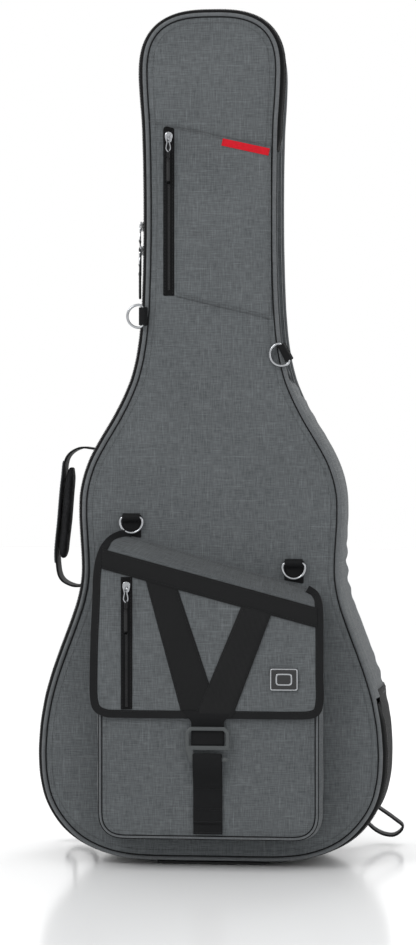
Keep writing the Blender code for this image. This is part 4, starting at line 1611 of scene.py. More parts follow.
@dataclass
class Lid:
    """The front of the bag: its crowned cloth, corded edge, cushion and hinge.

    Attributes:
        cord: the piping's radius.
        roll: how wide the edge is over which the cloth falls to the piping.
    """

    cord: float = 0.0026
    roll: float = 0.013

    def __post_init__(self) -> None:
        """Read the lid's front from the frame."""
        self.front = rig.box("lid_cloth")[0].y

    def face(self, x: float, z: float, d: float) -> float:
        """Return the y of the lid's front cloth at a place and its distance to the edge."""
        soft = 0.0011 * ripple(x, z, 0.12, 2.4) + 0.0005 * ripple(x, z, 0.045, 8.1)
        tuck = 0.0009 * hump(z, 0.40, 0.035) * hump(abs(x), 0.155, 0.02) * math.sin(z / 0.0042)
        return self.front + 0.0030 * (1 - ease(d / self.roll)) - (soft + tuck) * ease(d / 0.02) * 0.8

    def build(self, shell: Shell) -> None:
        """Make the lid's own pieces."""

        def outer(x: float, z: float, d: float) -> Vector:
            """Return the front cloth's outer face."""
            return Vector((x, self.face(x, z, d), z))

        sheet = slab("lid_front_cloth", BAG.loop(-0.0042), 0.0075, outer, plane(self.front + 0.0044))
        dress(sheet, Finishes.GREY, "lid", "lid_cloth")
        piping = at_depth(BAG.loop(-self.cord), self.front + self.cord)
        cord("lid_piping_cord", piping, self.cord, Finishes.PIPING, "lid", "lid_piping", sides=12)
        # A thin dark cord just inside the piping: painted shadow of the seam, not a sewn part.
        tread_groove_and_seam_shadow = at_depth(BAG.loop(-0.0058), self.front + 0.0022)
        cord("lid_seam_shadow_cord", tread_groove_and_seam_shadow, 0.0010, Finishes.SEAM_SHADOW, "lid", sides=6)
        stitched = [
            Vector((p.x, self.face(p.x, p.y, 0.0095) - 0.0003, p.y)) for p in BAG.loop(-0.0137, 0.007)
        ]
        Row("lid_edge_stitches", [stitched + stitched[:1]], Finishes.THREAD, "lid", across=FORWARD).build()

        def cushion(x: float, z: float, d: float) -> Vector:
            """Return the lid's padded inner face."""
            return Vector((x, self.front + 0.0195 - 0.010 * (1 - ease(d / 0.012)), z))

        pad = slab("lid_plush_cushion", BAG.loop(-0.0022), 0.009, cushion, plane(self.front + 0.0048))
        dress(pad, Finishes.PLUSH, "lid", "lid_foam", "lid_lining")
        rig.padded(pad, 0.8)
        self.hinge(shell)

    def hinge(self, shell: Shell) -> None:
        """Make the cloth down the right side that joins the lid to the wall."""
        front = self.front + 0.0046

        def place(s: float, v: float) -> Vector:
            """Return a place on the hinge cloth, from the piping at 0 to the wall at 1."""
            slim = ease((BAG.at(s).y - 0.60) / 0.08)
            out = 0.0003 + (shell.wall_out + 0.0006 - 0.0075 * slim) * ease(v * 1.2)
            out += 0.0012 * math.sin(math.pi * v) * (1 - slim) + 0.5 * shell.gather(s, 0.3) * ease(v * 2)
            spot = BAG.at(s, out)
            return Vector((spot.x, front + (shell.seam_y + 0.013 - front) * v, spot.y))

        along = spread(shell.guard_right, shell.hinge_end, 0.005)
        obj = grid("lid_hinge_strip", along, spread(0.0, 1.0, 0.1), place, 0.028)
        thicken(aim(obj, from_axis), 0.0010)
        bend = ("lid", Vector((0, shell.seam_y + 0.006, 0)), Vector((0, self.front + 0.008, 0)))
        dress(obj, Finishes.GREY, "shell", "lid_hinge_cloth", bend=bend)


# Sliders and pulls --------------------------------------------------------------------------------


@dataclass
class Slider:
    """A zip slider with its corded pull.

    Attributes:
        name: the zip's name.
        place: the middle of the slider's foot, on the teeth.
        out: the direction in which the slider stands off the bag.
        length: how far the pull reaches below the slider's middle.
        lift: how much further out the pull hangs than the slider's bridge.
        cord_width: the thickness of the pull's cord.
    """

    name: str
    place: Vector
    out: Vector
    length: float = 0.062
    lift: float = 0.0
    cord_width: float = 0.0011

    def frame_of(self) -> Matrix:
        """Return the matrix from the slider's own axes (across, up the zip, out) to the bag's."""
        across = UP.cross(self.out).normalized()
        turn = Matrix((across, UP, self.out)).transposed().to_4x4()
        return Matrix.Translation(self.place) @ turn

    def plate(self, name: str, half: Sequence[Point2], low: float, high: float) -> bpy.types.Object:
        """Make a plate from one side's outline, mirrored, between two heights above the teeth."""
        outline = [Vector(p) for p in half] + [Vector((-x, y)) for x, y in reversed(half)]
        lip = 0.0005
        return slab(
            name,
            outline,
            0.0011,
            lambda x, y, d: Vector((x, y, high - lip * (1 - ease(d / 0.0009)))),
            lambda x, y, d: Vector((x, y, low + lip * (1 - ease(d / 0.0009)))),
        )

    def build(self) -> None:
        """Make the slider's shield, bridge and foot, then the pull's cord, knot and grip."""
        shield = [
            (0.0, 0.0068), (0.0030, 0.0064), (0.0047, 0.0042), (0.0049, 0.0006), (0.0040, -0.0034),
            (0.0031, -0.0062), (0.0, -0.0068),
        ]
        foot = self.plate(f"{self.name}_foot", shield, 0.0003, 0.0012)
        face = self.plate(f"{self.name}_face", shield, 0.0020, 0.0031)
        arch = [(0.0056, 0.0026), (0.0046, 0.0043), (0.0006, 0.0050), (-0.0030, 0.0043), (-0.0042, 0.0028)]
        rise = smooth_path([(0.0, y, z) for y, z in arch], 0.0009)
        bridge = sweep(f"{self.name}_bridge", rise, strap_section(0.0026, 0.0011), RIGHT)
        dome = tube(
            f"{self.name}_dome", [Vector((0, 0.0042, z)) for z in (0.0028, 0.0034, 0.0042)], 0.0029, sides=14
        )
        slider = join(f"{self.name}_slider_metal", [foot, face, bridge, dome])
        slider.data.transform(self.frame_of())
        dress(close_up(slider, 1e-7), Finishes.CHROME, f"{self.name}_slider", f"{self.name}_slider")
        self.pull()

    def pull(self) -> None:
        """Make the pull: a doubled cord through the bridge, its knot and a moulded grip."""
        drop, out = self.length, 0.0042 + self.lift
        link = [Vector((0.0, 0.0004, min(out, 0.0052) + 0.0004))]
        for y, half in ((-0.0030, 0.0021), (-0.0080, 0.0016), (-0.0120, 0.0024), (-0.0160, 0.0026)):
            link.append(Vector((half, y, out)))
        link.append(Vector((0.0, -0.0192, out)))
        link += [Vector((-p.x, p.y, p.z)) for p in reversed(link[1:-1])]
        ring = tube(
            f"{self.name}_link", smooth_path(link, 0.0010, closed=True), 0.00085, closed=True, sides=8
        )
        ring.data.transform(self.frame_of())
        dress(ring, Finishes.CHROME, f"{self.name}_pull")
        side = 0.0009
        loop = [
            Vector((-side, -0.0290, out)), Vector((-side * 1.4, -0.0230, out)), Vector(
                (-side, -0.0185, out - 0.0006)
            ),
            Vector((0.0, -0.0172, out + 0.0012)), Vector((side, -0.0185, out + 0.0012)),
            Vector((side * 1.4, -0.0230, out)), Vector((side, -0.0290, out)),
        ]
        doubled = tube(f"{self.name}_cord", smooth_path(loop, 0.0012), self.cord_width / 2 + 0.0002, sides=8)
        turns = []
        for turn in np.linspace(0, 4 * math.pi, 33):
            spot = (math.cos(turn), math.sin(turn))
            turns.append(
                Vector((0.0015 * spot[0], -0.0295 - 0.0009 * turn / math.pi, out + 0.0015 * spot[1]))
            )
        knot = tube(f"{self.name}_knot", turns, 0.0008, sides=8)
        ends = (
            (-0.0310, 0.45), (-0.0330, 0.82), (-0.0350, 1.0), (0.010 - drop, 1.0), (
                0.004 - drop, 0.92
            ), (0.0008 - drop, 0.6)
        )
        heights = smooth_path([(0.0, y, k) for y, k in ends], 0.0016)
        path = [Vector((0, p.y, out)) for p in heights]
        widths = [p.z for p in heights]

        def girth(share: float) -> float:
            """Return the grip's size along its length, with fine finger ribs."""
            index = min(len(widths) - 1, round(share * (len(widths) - 1)))
            return widths[index] * (1 + 0.06 * math.sin(index * 1.9))

        grip = sweep(f"{self.name}_grip", path, round_section(0.0024, 14, 0.72), RIGHT, scale=girth)
        whole = join(f"{self.name}_pull_cord", [doubled, knot, grip])
        whole.data.transform(self.frame_of())
        dress(whole, Finishes.RUBBER, f"{self.name}_pull", f"{self.name}_pull")


def flat_zip(name: str, body: str, x: float, face: float, ends: Sequence[Point2], apart: float) -> None:
    """Make the coil and the stitching of a zip that faces forwards.

    Args:
        name: how both pieces' names start.
        body: the body that the zip is sewn to.
        x: the zip's middle.
        face: the y of the panel under the tape.
        ends: the lowest and the highest z of the coil, then of the stitching.
        apart: how far each line of stitches lies from the zip's middle.
    """
    coil, seam = (
        [at_depth([(x + side, z) for z in spread(*end, 0.01)], face - above) for side in (-gap, gap)]
        for end, gap, above in zip(ends, (0.0008, apart), (0.0022, 0.0021), strict=True)
    )
    Row(f"{name}_coil", coil, Finishes.TEETH, body, RowShape.TOOTH, 0.0014, 0.0009, 0.0014, 0.0008).build()
    Row(f"{name}_stitches", seam, Finishes.BLACK_THREAD, body).build()


# Neck pocket --------------------------------------------------------------------------------------


@dataclass
class NeckPocket:
    """The flat pocket on the neck, its zip and its red label."""

    def build(self, lid: Lid) -> None:
        """Make the pocket's panel, zip and label."""
        low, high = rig.box("neck_pocket_panel")
        base, top = high.y, low.y

        def outer(x: float, z: float, d: float) -> Vector:
            """Return the panel's face, which puffs a little behind its folded edge."""
            puff = 0.0007 * ripple(x, z, 0.05, 4.4)
            return Vector(
                (x, base + (top - base) * (0.45 + 0.55 * ease(d / 0.003)) - puff * ease(d / 0.01), z)
            )

        panel = slab(
            "neck_pocket_cloth", outline_of("neck_pocket_panel")[0], 0.006, outer, plane(lid.front + 0.002)
        )
        dress(panel, Finishes.GREY, "lid", "neck_pocket_panel")
        corners = [(-0.0455, 0.9733), (0.0765, 0.9465), (0.0765, 0.7265), (-0.0455, 0.7565)]
        ring = at_depth(corners, top - 0.0002)
        Row("neck_pocket_stitches", [ring + ring[:1]], Finishes.THREAD, "lid", across=FORWARD).build()
        for name, a, b in (
            ("top", (-0.0815, 0.9835), (0.0785, 0.9500)), ("foot", (-0.0470, 0.7530), (0.0785, 0.7222))
        ):
            line = at_depth(lay_path([a, b], 0.01), top - 0.0001)
            dress(tube(f"neck_seam_{name}", line, 0.0004, sides=6), Finishes.THREAD, "lid")
        low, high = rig.box("neck_pocket_zip_tape")
        low.x, high.x = low.x - 0.0006, high.x + 0.0010
        quad = [(low.x, low.z), (high.x, low.z), (high.x, high.z - 0.004), (low.x, high.z)]
        tape = applied_ribbon(
            "neck_zip_tape", quad, lid.front + 0.0006, 0.0026, 0.0, [0.002, 0.002, 0.005, 0.005]
        )
        dress(tape, Finishes.TAPE, "lid", "neck_pocket_zip_tape")
        ends = ((low.z + 0.008, high.z - 0.012), (low.z + 0.004, high.z - 0.008))
        flat_zip("neck_zip", "lid", (low.x + high.x) / 2, lid.front, ends, 0.0052)
        low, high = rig.box("neck_pocket_slider")
        place = Vector(((low.x + high.x) / 2, lid.front - 0.0022, (low.z + high.z) / 2))
        Slider("neck_pocket", place, FORWARD, 0.063, lift=0.003).build()
        tag = applied_ribbon(
            "red_label", [tuple(p) for p in outline_of("neck_tag")[0]], top - 0.0002, 0.0013, -0.21
        )
        dress(tag, Finishes.RED, "lid", "neck_tag")
        hem = [Vector((x, top - 0.0017, z)) for x, z in ((0.0172, 0.9578), (0.0156, 0.9520))]
        end = [Vector((x, top - 0.0017, z)) for x, z in ((0.0765, 0.9440), (0.0748, 0.9382))]
        Row("label_stitches", [hem, end], Finishes.RED, "lid", pitch=0.0022, length=0.0017).build()


# D-rings ------------------------------------------------------------------------------------------


@dataclass
class DRing:
    """A plated wire D-ring in a folded webbing tab.

    Attributes:
        name: the ring's place on the bag.
        bow: the direction from the bar to the bow.
        half: half the length of the straight bar.
        wire: the wire's radius.
    """

    name: str
    bow: Vector
    half: float = 0.015
    wire: float = 0.002

    def build(self, lid: Lid) -> None:
        """Make the ring, its tab and the sewn patch under it."""
        low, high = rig.box(f"ring_{self.name}")
        out = self.bow.normalized()
        along = out.cross(BACKWARD)
        centre = self.bar_centre(low, high, out)
        path = [centre - along * (self.half - 0.002), centre + along * (self.half - 0.002)]
        for step in range(17):
            turn = math.pi * step / 16
            path.append(
                centre + along * (math.cos(turn) * self.half) + out * (0.0045 + math.sin(turn) * self.half)
            )
        ring = tube(
            f"d_ring_{self.name}",
            smooth_path(path, 0.0016, closed=True),
            self.wire * 0.85,
            closed=True,
            sides=12,
        )
        dress(ring, Finishes.CHROME, f"ring_{self.name}", f"ring_{self.name}")
        front = lid.front - 0.0004
        hangs = abs(out.z) > 0.9
        lip, tuck = (0.0058, 0.0) if hangs else (0.0062, 0.0020)
        loop = [
            (lip, front - 0.0022), (0.0034, centre.y - 0.0032), (0.0, centre.y - 0.0034),
            (-0.0034, centre.y - 0.0012), (-0.0032, centre.y + 0.0012), (0.0, front - 0.0008), (
                0.004 + tuck, front - 0.0008
            ),
        ]
        ribbon = smooth_path([centre - out * r + Vector((0, y - centre.y, 0)) for r, y in loop], 0.0012)
        tab = sweep(f"tab_{self.name}", ribbon, strap_section(0.0235, 0.0013), along)
        dress(tab, Finishes.WEB, "lid", f"ring_tab_{self.name}")
        if hangs:
            corners = [(-0.0128, -0.0045), (0.0128, -0.0045), (0.0128, 0.0262), (-0.0128, 0.0215)]
            rows = [[(a, -0.0050) for a in spread(-0.0105, 0.0105, 0.004)]]
        else:
            corners = [(-0.0124, 0.0010), (0.0124, 0.0010), (0.0124, -0.0072), (-0.0124, -0.0072)]
            rows = [[(a, b) for a in spread(-0.0105, 0.0105, 0.004)] for b in (-0.0046, -0.0062)]
        flat = [centre + along * a + out * b for a, b in corners]
        patch = applied_ribbon(
            f"tab_patch_{self.name}", [(p.x, p.z) for p in flat], lid.front + 0.0004, 0.0017, 0.0, [0.002] * 4
        )
        dress(patch, Finishes.WEB, "lid")
        lines = [
            [centre + along * a + out * b + Vector((0, front - 0.0030 - centre.y, 0)) for a, b in row]
            for row in rows
        ]
        Row(
            f"tab_stitches_{self.name}",
            lines,
            Finishes.BLACK_THREAD,
            "lid",
            pitch=0.0028,
            length=0.0023,
            across=FORWARD,
        ).build()

    def bar_centre(self, low: Vector, high: Vector, out: Vector) -> Vector:
        """Return the middle of the ring's bar from the ring's box."""
        middle = (low + high) / 2
        reach = self.wire + (0.005 + self.half) / 2
        if abs(out.z) > 0.9:
            return Vector((middle.x, middle.y, (high.z if out.z < 0 else low.z) + out.z * self.wire))
        if abs(out.x) > 0.98:
            return Vector(((high.x if out.x < 0 else low.x) + out.x * self.wire, middle.y, middle.z))
        return middle - out * (reach - self.wire)


# Front pocket and closure -------------------------------------------------------------------------


@dataclass
class FrontPocket:
    """The boxed pocket on the lower front and the webbing that the hook holds.

    Attributes:
        seam_cord: the radius of the cord in the face's seam.
    """

    seam_cord: float = 0.0015

    def build(self, lid: Lid) -> None:
        """Make the pocket's walls, face, seams and closure webbing."""
        outline = Contour(outline_of("pocket_face")[0], spacing=0.003)
        front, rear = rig.box("pocket_face")[0].y, lid.front - 0.0001
        top_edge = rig.box("pocket_face")[1].z

        def wall(s: float, t: float) -> Vector:
            """Return a place on the pocket's wall, from the lid at 0 to the face's seam at 1."""
            slack = 0.0016 * math.sin(math.pi * t) * ripple(s, t * 0.08, 0.035, 6.6)
            out = 0.0016 - 0.0058 * ease(t) ** 1.4 + 0.0022 * math.sin(math.pi * t) + slack
            spot = outline.at(s, out)
            return Vector((spot.x, rear + (front + 0.0014 - rear) * t, spot.y))

        sides = grid(
            "pocket_side_cloth", spread(0.0, outline.length, 0.005), spread(0.0, 1.0, 0.1), wall, 0.042
        )
        middle_z = (outline.ring[:, 1].min() + outline.ring[:, 1].max()) / 2
        aim(sides, lambda middle: Vector((middle.x / 0.146, 0.0, (middle.z - middle_z) / 0.19)))
        close_up(sides, 1e-5, outward=False)
        dress(thicken(sides, 0.0015), Finishes.GREY, "lid", "pocket_wall")

        def face(x: float, z: float, d: float) -> Vector:
            """Return the pocket's front face, which sags a little off its seams."""
            sag = 0.0010 * ripple(x, z, 0.06, 3.3) + 0.0004 * ripple(x, z, 0.022, 1.7)
            crown = 0.0009 * ease(d / 0.06)
            return Vector(
                (x, front + 0.0013 * (1 - ease(d / 0.008)) - (sag * 0.6 + crown) * ease(d / 0.025), z)
            )

        sheet = slab("pocket_face_cloth", outline.loop(-0.0052, 0.005), 0.006, face, plane(front + 0.0032))
        dress(sheet, Finishes.GREY, "lid", "pocket_face")
        # Two thin dark cords, one on each side of the face's piping: painted shadow in the seams.
        tread_groove_and_seam_shadow = at_depth(outline.loop(-0.0064, 0.004), front + 0.0010)
        outer_shadow_line = at_depth(outline.loop(-0.0022, 0.004), front + 0.0014)
        cord("pocket_wall_shadow_cord", outer_shadow_line, 0.0007, Finishes.SEAM_SHADOW, "lid", sides=6)
        cord("pocket_seam_shadow_cord", tread_groove_and_seam_shadow, 0.0009, Finishes.SEAM_SHADOW, "lid", sides=6)
        seam = at_depth(outline.loop(-0.0042, 0.004), front + 0.0008)
        cord("pocket_piping", seam, self.seam_cord, Finishes.PIPING, "lid", sides=8)
        for name, inset, y in (
            ("pocket_face_stitches", -0.0125, None), ("pocket_foot_stitches", 0.0036, lid.front - 0.0006)
        ):
            line = [
                face(
                    p.x, p.y, -inset - 0.007
                ) - Vector((0, 0.0003, 0)) if y is None else Vector((p.x, y, p.y))
                for p in outline.loop(inset, 0.005)
            ]
            line = [p for p in line if p.z < top_edge - 0.10]
            start = max(range(len(line)), key=lambda i: (line[i] - line[i - 1]).length)
            Row(name, [line[start:] + line[:start]], Finishes.THREAD, "lid", across=FORWARD).build()
        self.closure(face)

    def closure(self, face: Surface) -> None:
        """Make the closure webbing, looped round the hook's lower bar and sewn to the pocket."""
        low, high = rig.box("closure_webbing")
        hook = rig.box("hook_buckle")
        skin = face(0.0, 0.1, 0.1).y - 0.0010
        bar_front, bar_rear = hook[0].y - 0.0016, hook[1].y + 0.0012
        side = [
            (skin, low.z + 0.0005), (skin - 0.0002, 0.090), (skin - 0.0008, 0.120), (
                bar_rear + 0.0006, 0.140
            ),
            (bar_rear, 0.1500), (bar_rear - 0.0020, high.z - 0.0012), (bar_front + 0.0014, high.z - 0.0010),
            (bar_front, 0.1510), (bar_front, 0.1440), (bar_front + 0.0016, 0.1330), (skin - 0.0040, 0.1180),
            (skin - 0.0022, 0.1080), (skin - 0.0020, 0.0900), (skin - 0.0020, 0.0640),
        ]
        path = smooth_path([(0.0, y, z) for y, z in side], 0.002)
        width = high.x - low.x
        dress(
            sweep("closure_strap", path, strap_section(width, 0.0015), RIGHT),
            Finishes.WEB,
            "lid",
            "closure_webbing",
        )
        bars = []
        for height in (0.1105, 0.1085, 0.0835, 0.0815, 0.0665):
            bars.append(
                [
                    Vector((x, skin - 0.0029 - 0.0004 * (height > 0.1), height))
                    for x in spread(-0.0165, 0.0165, 0.004)
                ]
            )
        Row(
            "closure_bar_tacks",
            bars,
            Finishes.BLACK_THREAD,
            "lid",
            pitch=0.0022,
            length=0.0020,
            width=0.0010,
            across=FORWARD,
        ).build()
        foot = [[Vector((x, skin - 0.0009, low.z + 0.003)) for x in spread(-0.0165, 0.0165, 0.004)]]
        Row(
            "closure_foot_stitches",
            foot,
            Finishes.BLACK_THREAD,
            "lid",
            pitch=0.0024,
            length=0.0022,
            across=FORWARD,
        ).build()


# Flap ---------------------------------------------------------------------------------------------


@dataclass
class Flap:
    """The pocket's flap: a slanting top strip, the front panel, its binding, straps, zip and badge.

    Attributes:
        slant: how far the fold drops towards the viewer's right, in radians.
        fold_at: a place (x, z) on the fold.
        binding: the width of the black edge binding.
        band: the width of the slanting webbing band.
    """

    slant: float = math.radians(15)
    fold_at: Point2 = (-0.126, 0.4196)
    binding: float = 0.0105
    band: float = 0.0264

    def __post_init__(self) -> None:
        """Read the panel's faces from the frame."""
        self.low, self.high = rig.box("flap_panel")
        self.front, self.rear = self.low.y, self.high.y

    def fold(self, x: float) -> float:
        """Return the fold's height at x."""
        return self.fold_at[1] - (x - self.fold_at[0]) * math.tan(self.slant)

    def build(self, lid: Lid) -> None:
        """Make the whole flap."""
        self.strip(lid)
        self.panel()
        self.straps()
        self.zip()
        self.badge()

    def strip(self, lid: Lid) -> None:
        """Make the slanting top strip from the lid's seam to the fold."""
        strip_low, strip_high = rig.box("flap_strip")
        start_y, end_y = lid.front + 0.0004, self.front + 0.0006

        def place(x: float, t: float) -> Vector:
            """Return a place on the strip, from the lid at 0 to the fold at 1."""
            share = (x - strip_low.x) / (strip_high.x - strip_low.x)
            x = (-0.1120 - 0.0300 * t) * (1 - share) + (0.1330 + 0.0110 * t) * share
            rise = 0.0215 - 0.0045 * ease((x + 0.126) / 0.25)
            bow = 0.0022 * math.sin(math.pi * t) + 0.0006 * ripple(x, t * 0.05, 0.03, 2.2) * ease(t * 3)
            y = start_y + (end_y - start_y) * (0.35 * t + 0.65 * ease(t ** 0.85)) - bow * 0.3
            return Vector((x, y, self.fold(x) + rise * (1 - t) ** 0.9 + bow * 0.5 - 0.0022 * t))

        columns = spread(strip_low.x, strip_high.x, 0.006)
        obj = grid("flap_top_cloth", columns, spread(0.0, 1.0, 0.0714), place, 0.053)
        aim(obj, lambda middle: Vector((0, -0.5, 1)))
        # The top strip takes the darker canvas copy, which paints shade onto it.
        dress(thicken(obj, 0.0024), Finishes.GREY_SHADED, "flap_top", "flap_strip")
        seam = [
            [
                place(x, 0.16) + Vector((0, -0.0004, 0.0004))
                for x in spread(strip_low.x + 0.008, strip_high.x - 0.006, 0.008)
            ]
        ]
        Row("flap_top_stitches", seam, Finishes.THREAD, "flap_top", across=Vector((0, -1, 0.3))).build()

    def panel(self) -> None:
        """Make the grey front panel and the binding round its free edges."""
        outline = outline_of("flap_panel")[0]

        def face(x: float, z: float, d: float) -> Vector:
            """Return the panel's front."""
            soft = 0.0005 * ripple(x, z, 0.07, 5.5)
            return Vector((x, self.front + 0.0012 * (1 - ease(d / 0.004)) + soft * ease(d / 0.02), z))

        sheet = slab("flap_front_cloth", outline, 0.006, face, plane(self.rear))
        dress(sheet, Finishes.GREY, "flap", "flap_panel")
        inset = self.binding / 2 - 0.0006
        right, foot = self.high.x - inset, self.low.z + inset
        middle_y = (self.front + self.rear) / 2
        knots = [
            (-0.1060, 0.4385), (-0.1180, 0.4378), (-0.1285, 0.4325), (-0.1365, 0.4205), (-0.1418, 0.4060),
            (-0.1447, 0.3880), (-0.1462, 0.3500), (-0.1485, 0.3000), (-0.1495, 0.2500), (-0.1490, 0.2260),
            (-0.1455, 0.2130), (-0.1340, foot + 0.001), (-0.1100, foot), (0.0, foot), (0.1100, foot),
            (0.1330, foot + 0.001), (0.1420, 0.2110), (right, 0.2230), (right, 0.2600), (right, 0.3100),
            (right, 0.3350), (right - 0.0013, 0.3500), (right - 0.0068, 0.3610), (0.1290, 0.3672),
        ]

        def set_back(x: float, z: float) -> float:
            """Return how far back a place lies: level with the panel, and falling away above the fold."""
            over = (z - self.fold(x)) * math.cos(self.slant)
            return 0.0 if over < 0 else 0.0475 * min(1.0, over / 0.0225) ** 1.15

        dense = smooth_path([(x, 0.0, z) for x, z in knots], 0.003)
        flat = [Vector((p.x, middle_y - 0.0001 + set_back(p.x, p.z), p.z)) for p in dense]

        def across(_index: int, tangent: Vector) -> Vector:
            """Return the direction across the binding, level with the panel."""
            return tangent.cross(FORWARD)

        section = strap_section(self.binding, 0.0043)
        tape = sweep("flap_binding", flat, section, across)
        above = Vector((math.sin(self.slant), 0.0, math.cos(self.slant)))
        edge = Vector((0.0, 0.0, self.fold(0.0)))
        dress(tape, Finishes.BINDING, "flap_top", bend=("flap", edge + above * 0.003, edge - above * 0.002))
        stitched = []
        for index in range(1, len(flat) - 1):
            if flat[index].z > self.fold(flat[index].x) - 0.006:
                continue
            tangent = (flat[index + 1] - flat[index - 1]).normalized()
            inward = tangent.cross(FORWARD).normalized()
            sign = 1 if inward.dot(
                Vector((0, 0, 0.3)) - Vector((flat[index].x, 0, flat[index].z))
            ) > 0 else -1
            stitched.append(flat[index] + inward * sign * (self.binding / 2 - 0.0018) + FORWARD * 0.0022)
        Row("flap_binding_stitches", [stitched], Finishes.BLACK_THREAD, "flap", across=FORWARD).build()

    def straps(self) -> None:
        """Make the slanting band, the V of straps and the tail that carries the hook."""
        low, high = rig.box("flap_webbing")
        face, thick = self.front + 0.0001, 0.0017
        tuck = self.band + 0.002 - 0.004

        def under(x: float) -> float:
            """Return the height just inside the band's lower edge at x."""
            return self.fold(x) - tuck

        left_run = [
            (-0.0820, under(-0.0820)), (-0.0400, under(-0.0400)), (0.0155, 0.2060), (0.0120, 0.2015),
            (-0.0300, 0.2015), (-0.0345, 0.2080),
        ]
        right_run = [
            (0.0450, under(0.0450)), (0.0840, under(0.0840)), (0.0345, 0.2080), (0.0300, 0.2015),
            (-0.0120, 0.2015), (-0.0145, 0.2060),
        ]
        left_turn = math.atan2(0.0820 - 0.0345, under(-0.082) - 0.208)
        right_turn = -math.atan2(0.0840 - 0.0345, under(0.084) - 0.208)
        dress(
            applied_ribbon("strap_v_left", left_run, face, thick, left_turn),
            Finishes.SATIN,
            "flap",
            "flap_webbing",
        )
        dress(
            applied_ribbon("strap_v_right", right_run, face - 0.0009, thick, right_turn),
            Finishes.SATIN,
            "flap",
        )
        ends = [
            (low.x, self.fold(low.x) - 0.002),
            (high.x, self.fold(high.x) - 0.002),
            (high.x, self.fold(high.x) - 0.0284),
            (low.x, self.fold(low.x) - 0.0284),
        ]
        band = applied_ribbon("slant_band", ends, face - 0.0012, thick, math.pi / 2 - self.slant)
        dress(band, Finishes.SATIN, "flap")
        rows = []
        for drop in (0.0046, 0.0258):
            rows.append(
                [
                    Vector((x, face - 0.0031, self.fold(x) - drop))
                    for x in spread(low.x + 0.002, high.x - 0.002, 0.01)
                ]
            )
        for top, foot in (
            ((-0.0795, -0.0020), (-0.0335, 0)),
            ((-0.0425, 0), (0.0125, 0)),
            ((0.0475, 0), (-0.0125, 0)),
            ((0.0815, 0), (0.0335, 0)),
        ):
            start, end = Vector((top[0], under(top[0]) - 0.004)), Vector((foot[0], 0.2120))
            lift = 0.0020 + 0.0009 * (top[0] > 0)
            rows.append(
                [Vector((p.x, face - lift, p.y)) for p in (start.lerp(end, t) for t in spread(0, 1, 0.05))]
            )
        Row("strap_stitches", rows, Finishes.BLACK_THREAD, "flap", across=FORWARD, height=0.0005).build()
        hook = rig.box("hook_buckle")
        behind = hook[1].y + 0.0010
        side = [
            (face - 0.0016, 0.2110), (face - 0.0018, 0.2020), (behind, 0.1930), (behind, 0.1850),
            (behind - 0.0004, 0.1740), (behind - 0.0010, 0.1655), (behind + 0.0012, 0.1640),
            (behind + 0.0024, 0.1700), (behind + 0.0022, 0.1900),
        ]
        path = smooth_path([(0.0, y, z) for y, z in side], 0.0015)

        def taper(share: float) -> float:
            """Return the tail's width, which narrows to pass behind the hook's bar."""
            return 1.0 - 0.35 * ease(share / 0.22)

        tail = sweep("strap_tail", path, strap_section(0.066, 0.0017), RIGHT, scale=taper)
        dress(
            tail,
            Finishes.WEB,
            "flap",
            bend=("hook", Vector((0, behind, 0.1985)), Vector((0, behind, 0.1915))),
        )

    def zip(self) -> None:
        """Make the flap's zip: its tape, coil, stitching, slider and pull."""
        low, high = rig.box("flap_zip_tape")
        face, centre = self.front + 0.0004, (low.x + high.x) / 2
        dress(
            applied_ribbon("flap_zip_tape_cloth", corners_of(low, high), face, 0.0020, 0.0),
            Finishes.TAPE,
            "flap",
            "flap_zip_tape",
        )
        ends = ((low.z + 0.004, high.z - 0.006), (low.z + 0.002, high.z - 0.002))
        flat_zip("flap_zip", "flap", centre, face, ends, 0.0058)
        low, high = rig.box("flap_slider")
        place = Vector(((low.x + high.x) / 2, face - 0.0021, (low.z + high.z) / 2))
        Slider("flap", place, FORWARD, 0.062, lift=0.0034).build()

    def badge(self) -> None:
        """Make the plain metal badge: a dished plate, a raised frame and a ring motif."""
        low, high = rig.box("badge_plate")
        outline = rounded_corners(corners_of(low, high), [0.0026] * 4)
        front, rim = low.y, 0.0022

        def face(x: float, z: float, d: float) -> Vector:
            """Return the badge's face: a rounded rim round a sunken field."""
            raised = ease(d / 0.0007) * (1 - ease((d - rim) / 0.0006)) + 0.35 * ease((d - rim) / 0.0006)
            return Vector((x, front + 0.0012 * (1 - raised), z))

        plate = slab("badge_metal", outline, 0.0009, face, plane(high.y - 0.0002))
        dress(plate, Finishes.SMOKE, "flap", "badge_plate", crease=60)
        middle = Vector(((low.x + high.x) / 2, (low.z + high.z) / 2))
        rim_line = at_depth([corner.lerp(middle, 0.06) for corner in outline], front + 0.0004)
        cord("badge_rim", rim_line, 0.0010, Finishes.CHROME, "flap", sides=10)
        middle = (low + high) / 2
        outline = rounded_corners(
            [(-0.0098, -0.0068), (0.0098, -0.0068), (0.0098, 0.0068), (-0.0098, 0.0068)], [0.0036] * 4
        )
        motif = [Vector((middle.x + p.x, front + 0.0006, middle.z + p.y)) for p in outline]
        dress(
            tube("badge_motif", smooth_path(motif, 0.0012, closed=True), 0.0013, closed=True, sides=10),
            Finishes.CHROME,
            "flap",
        )


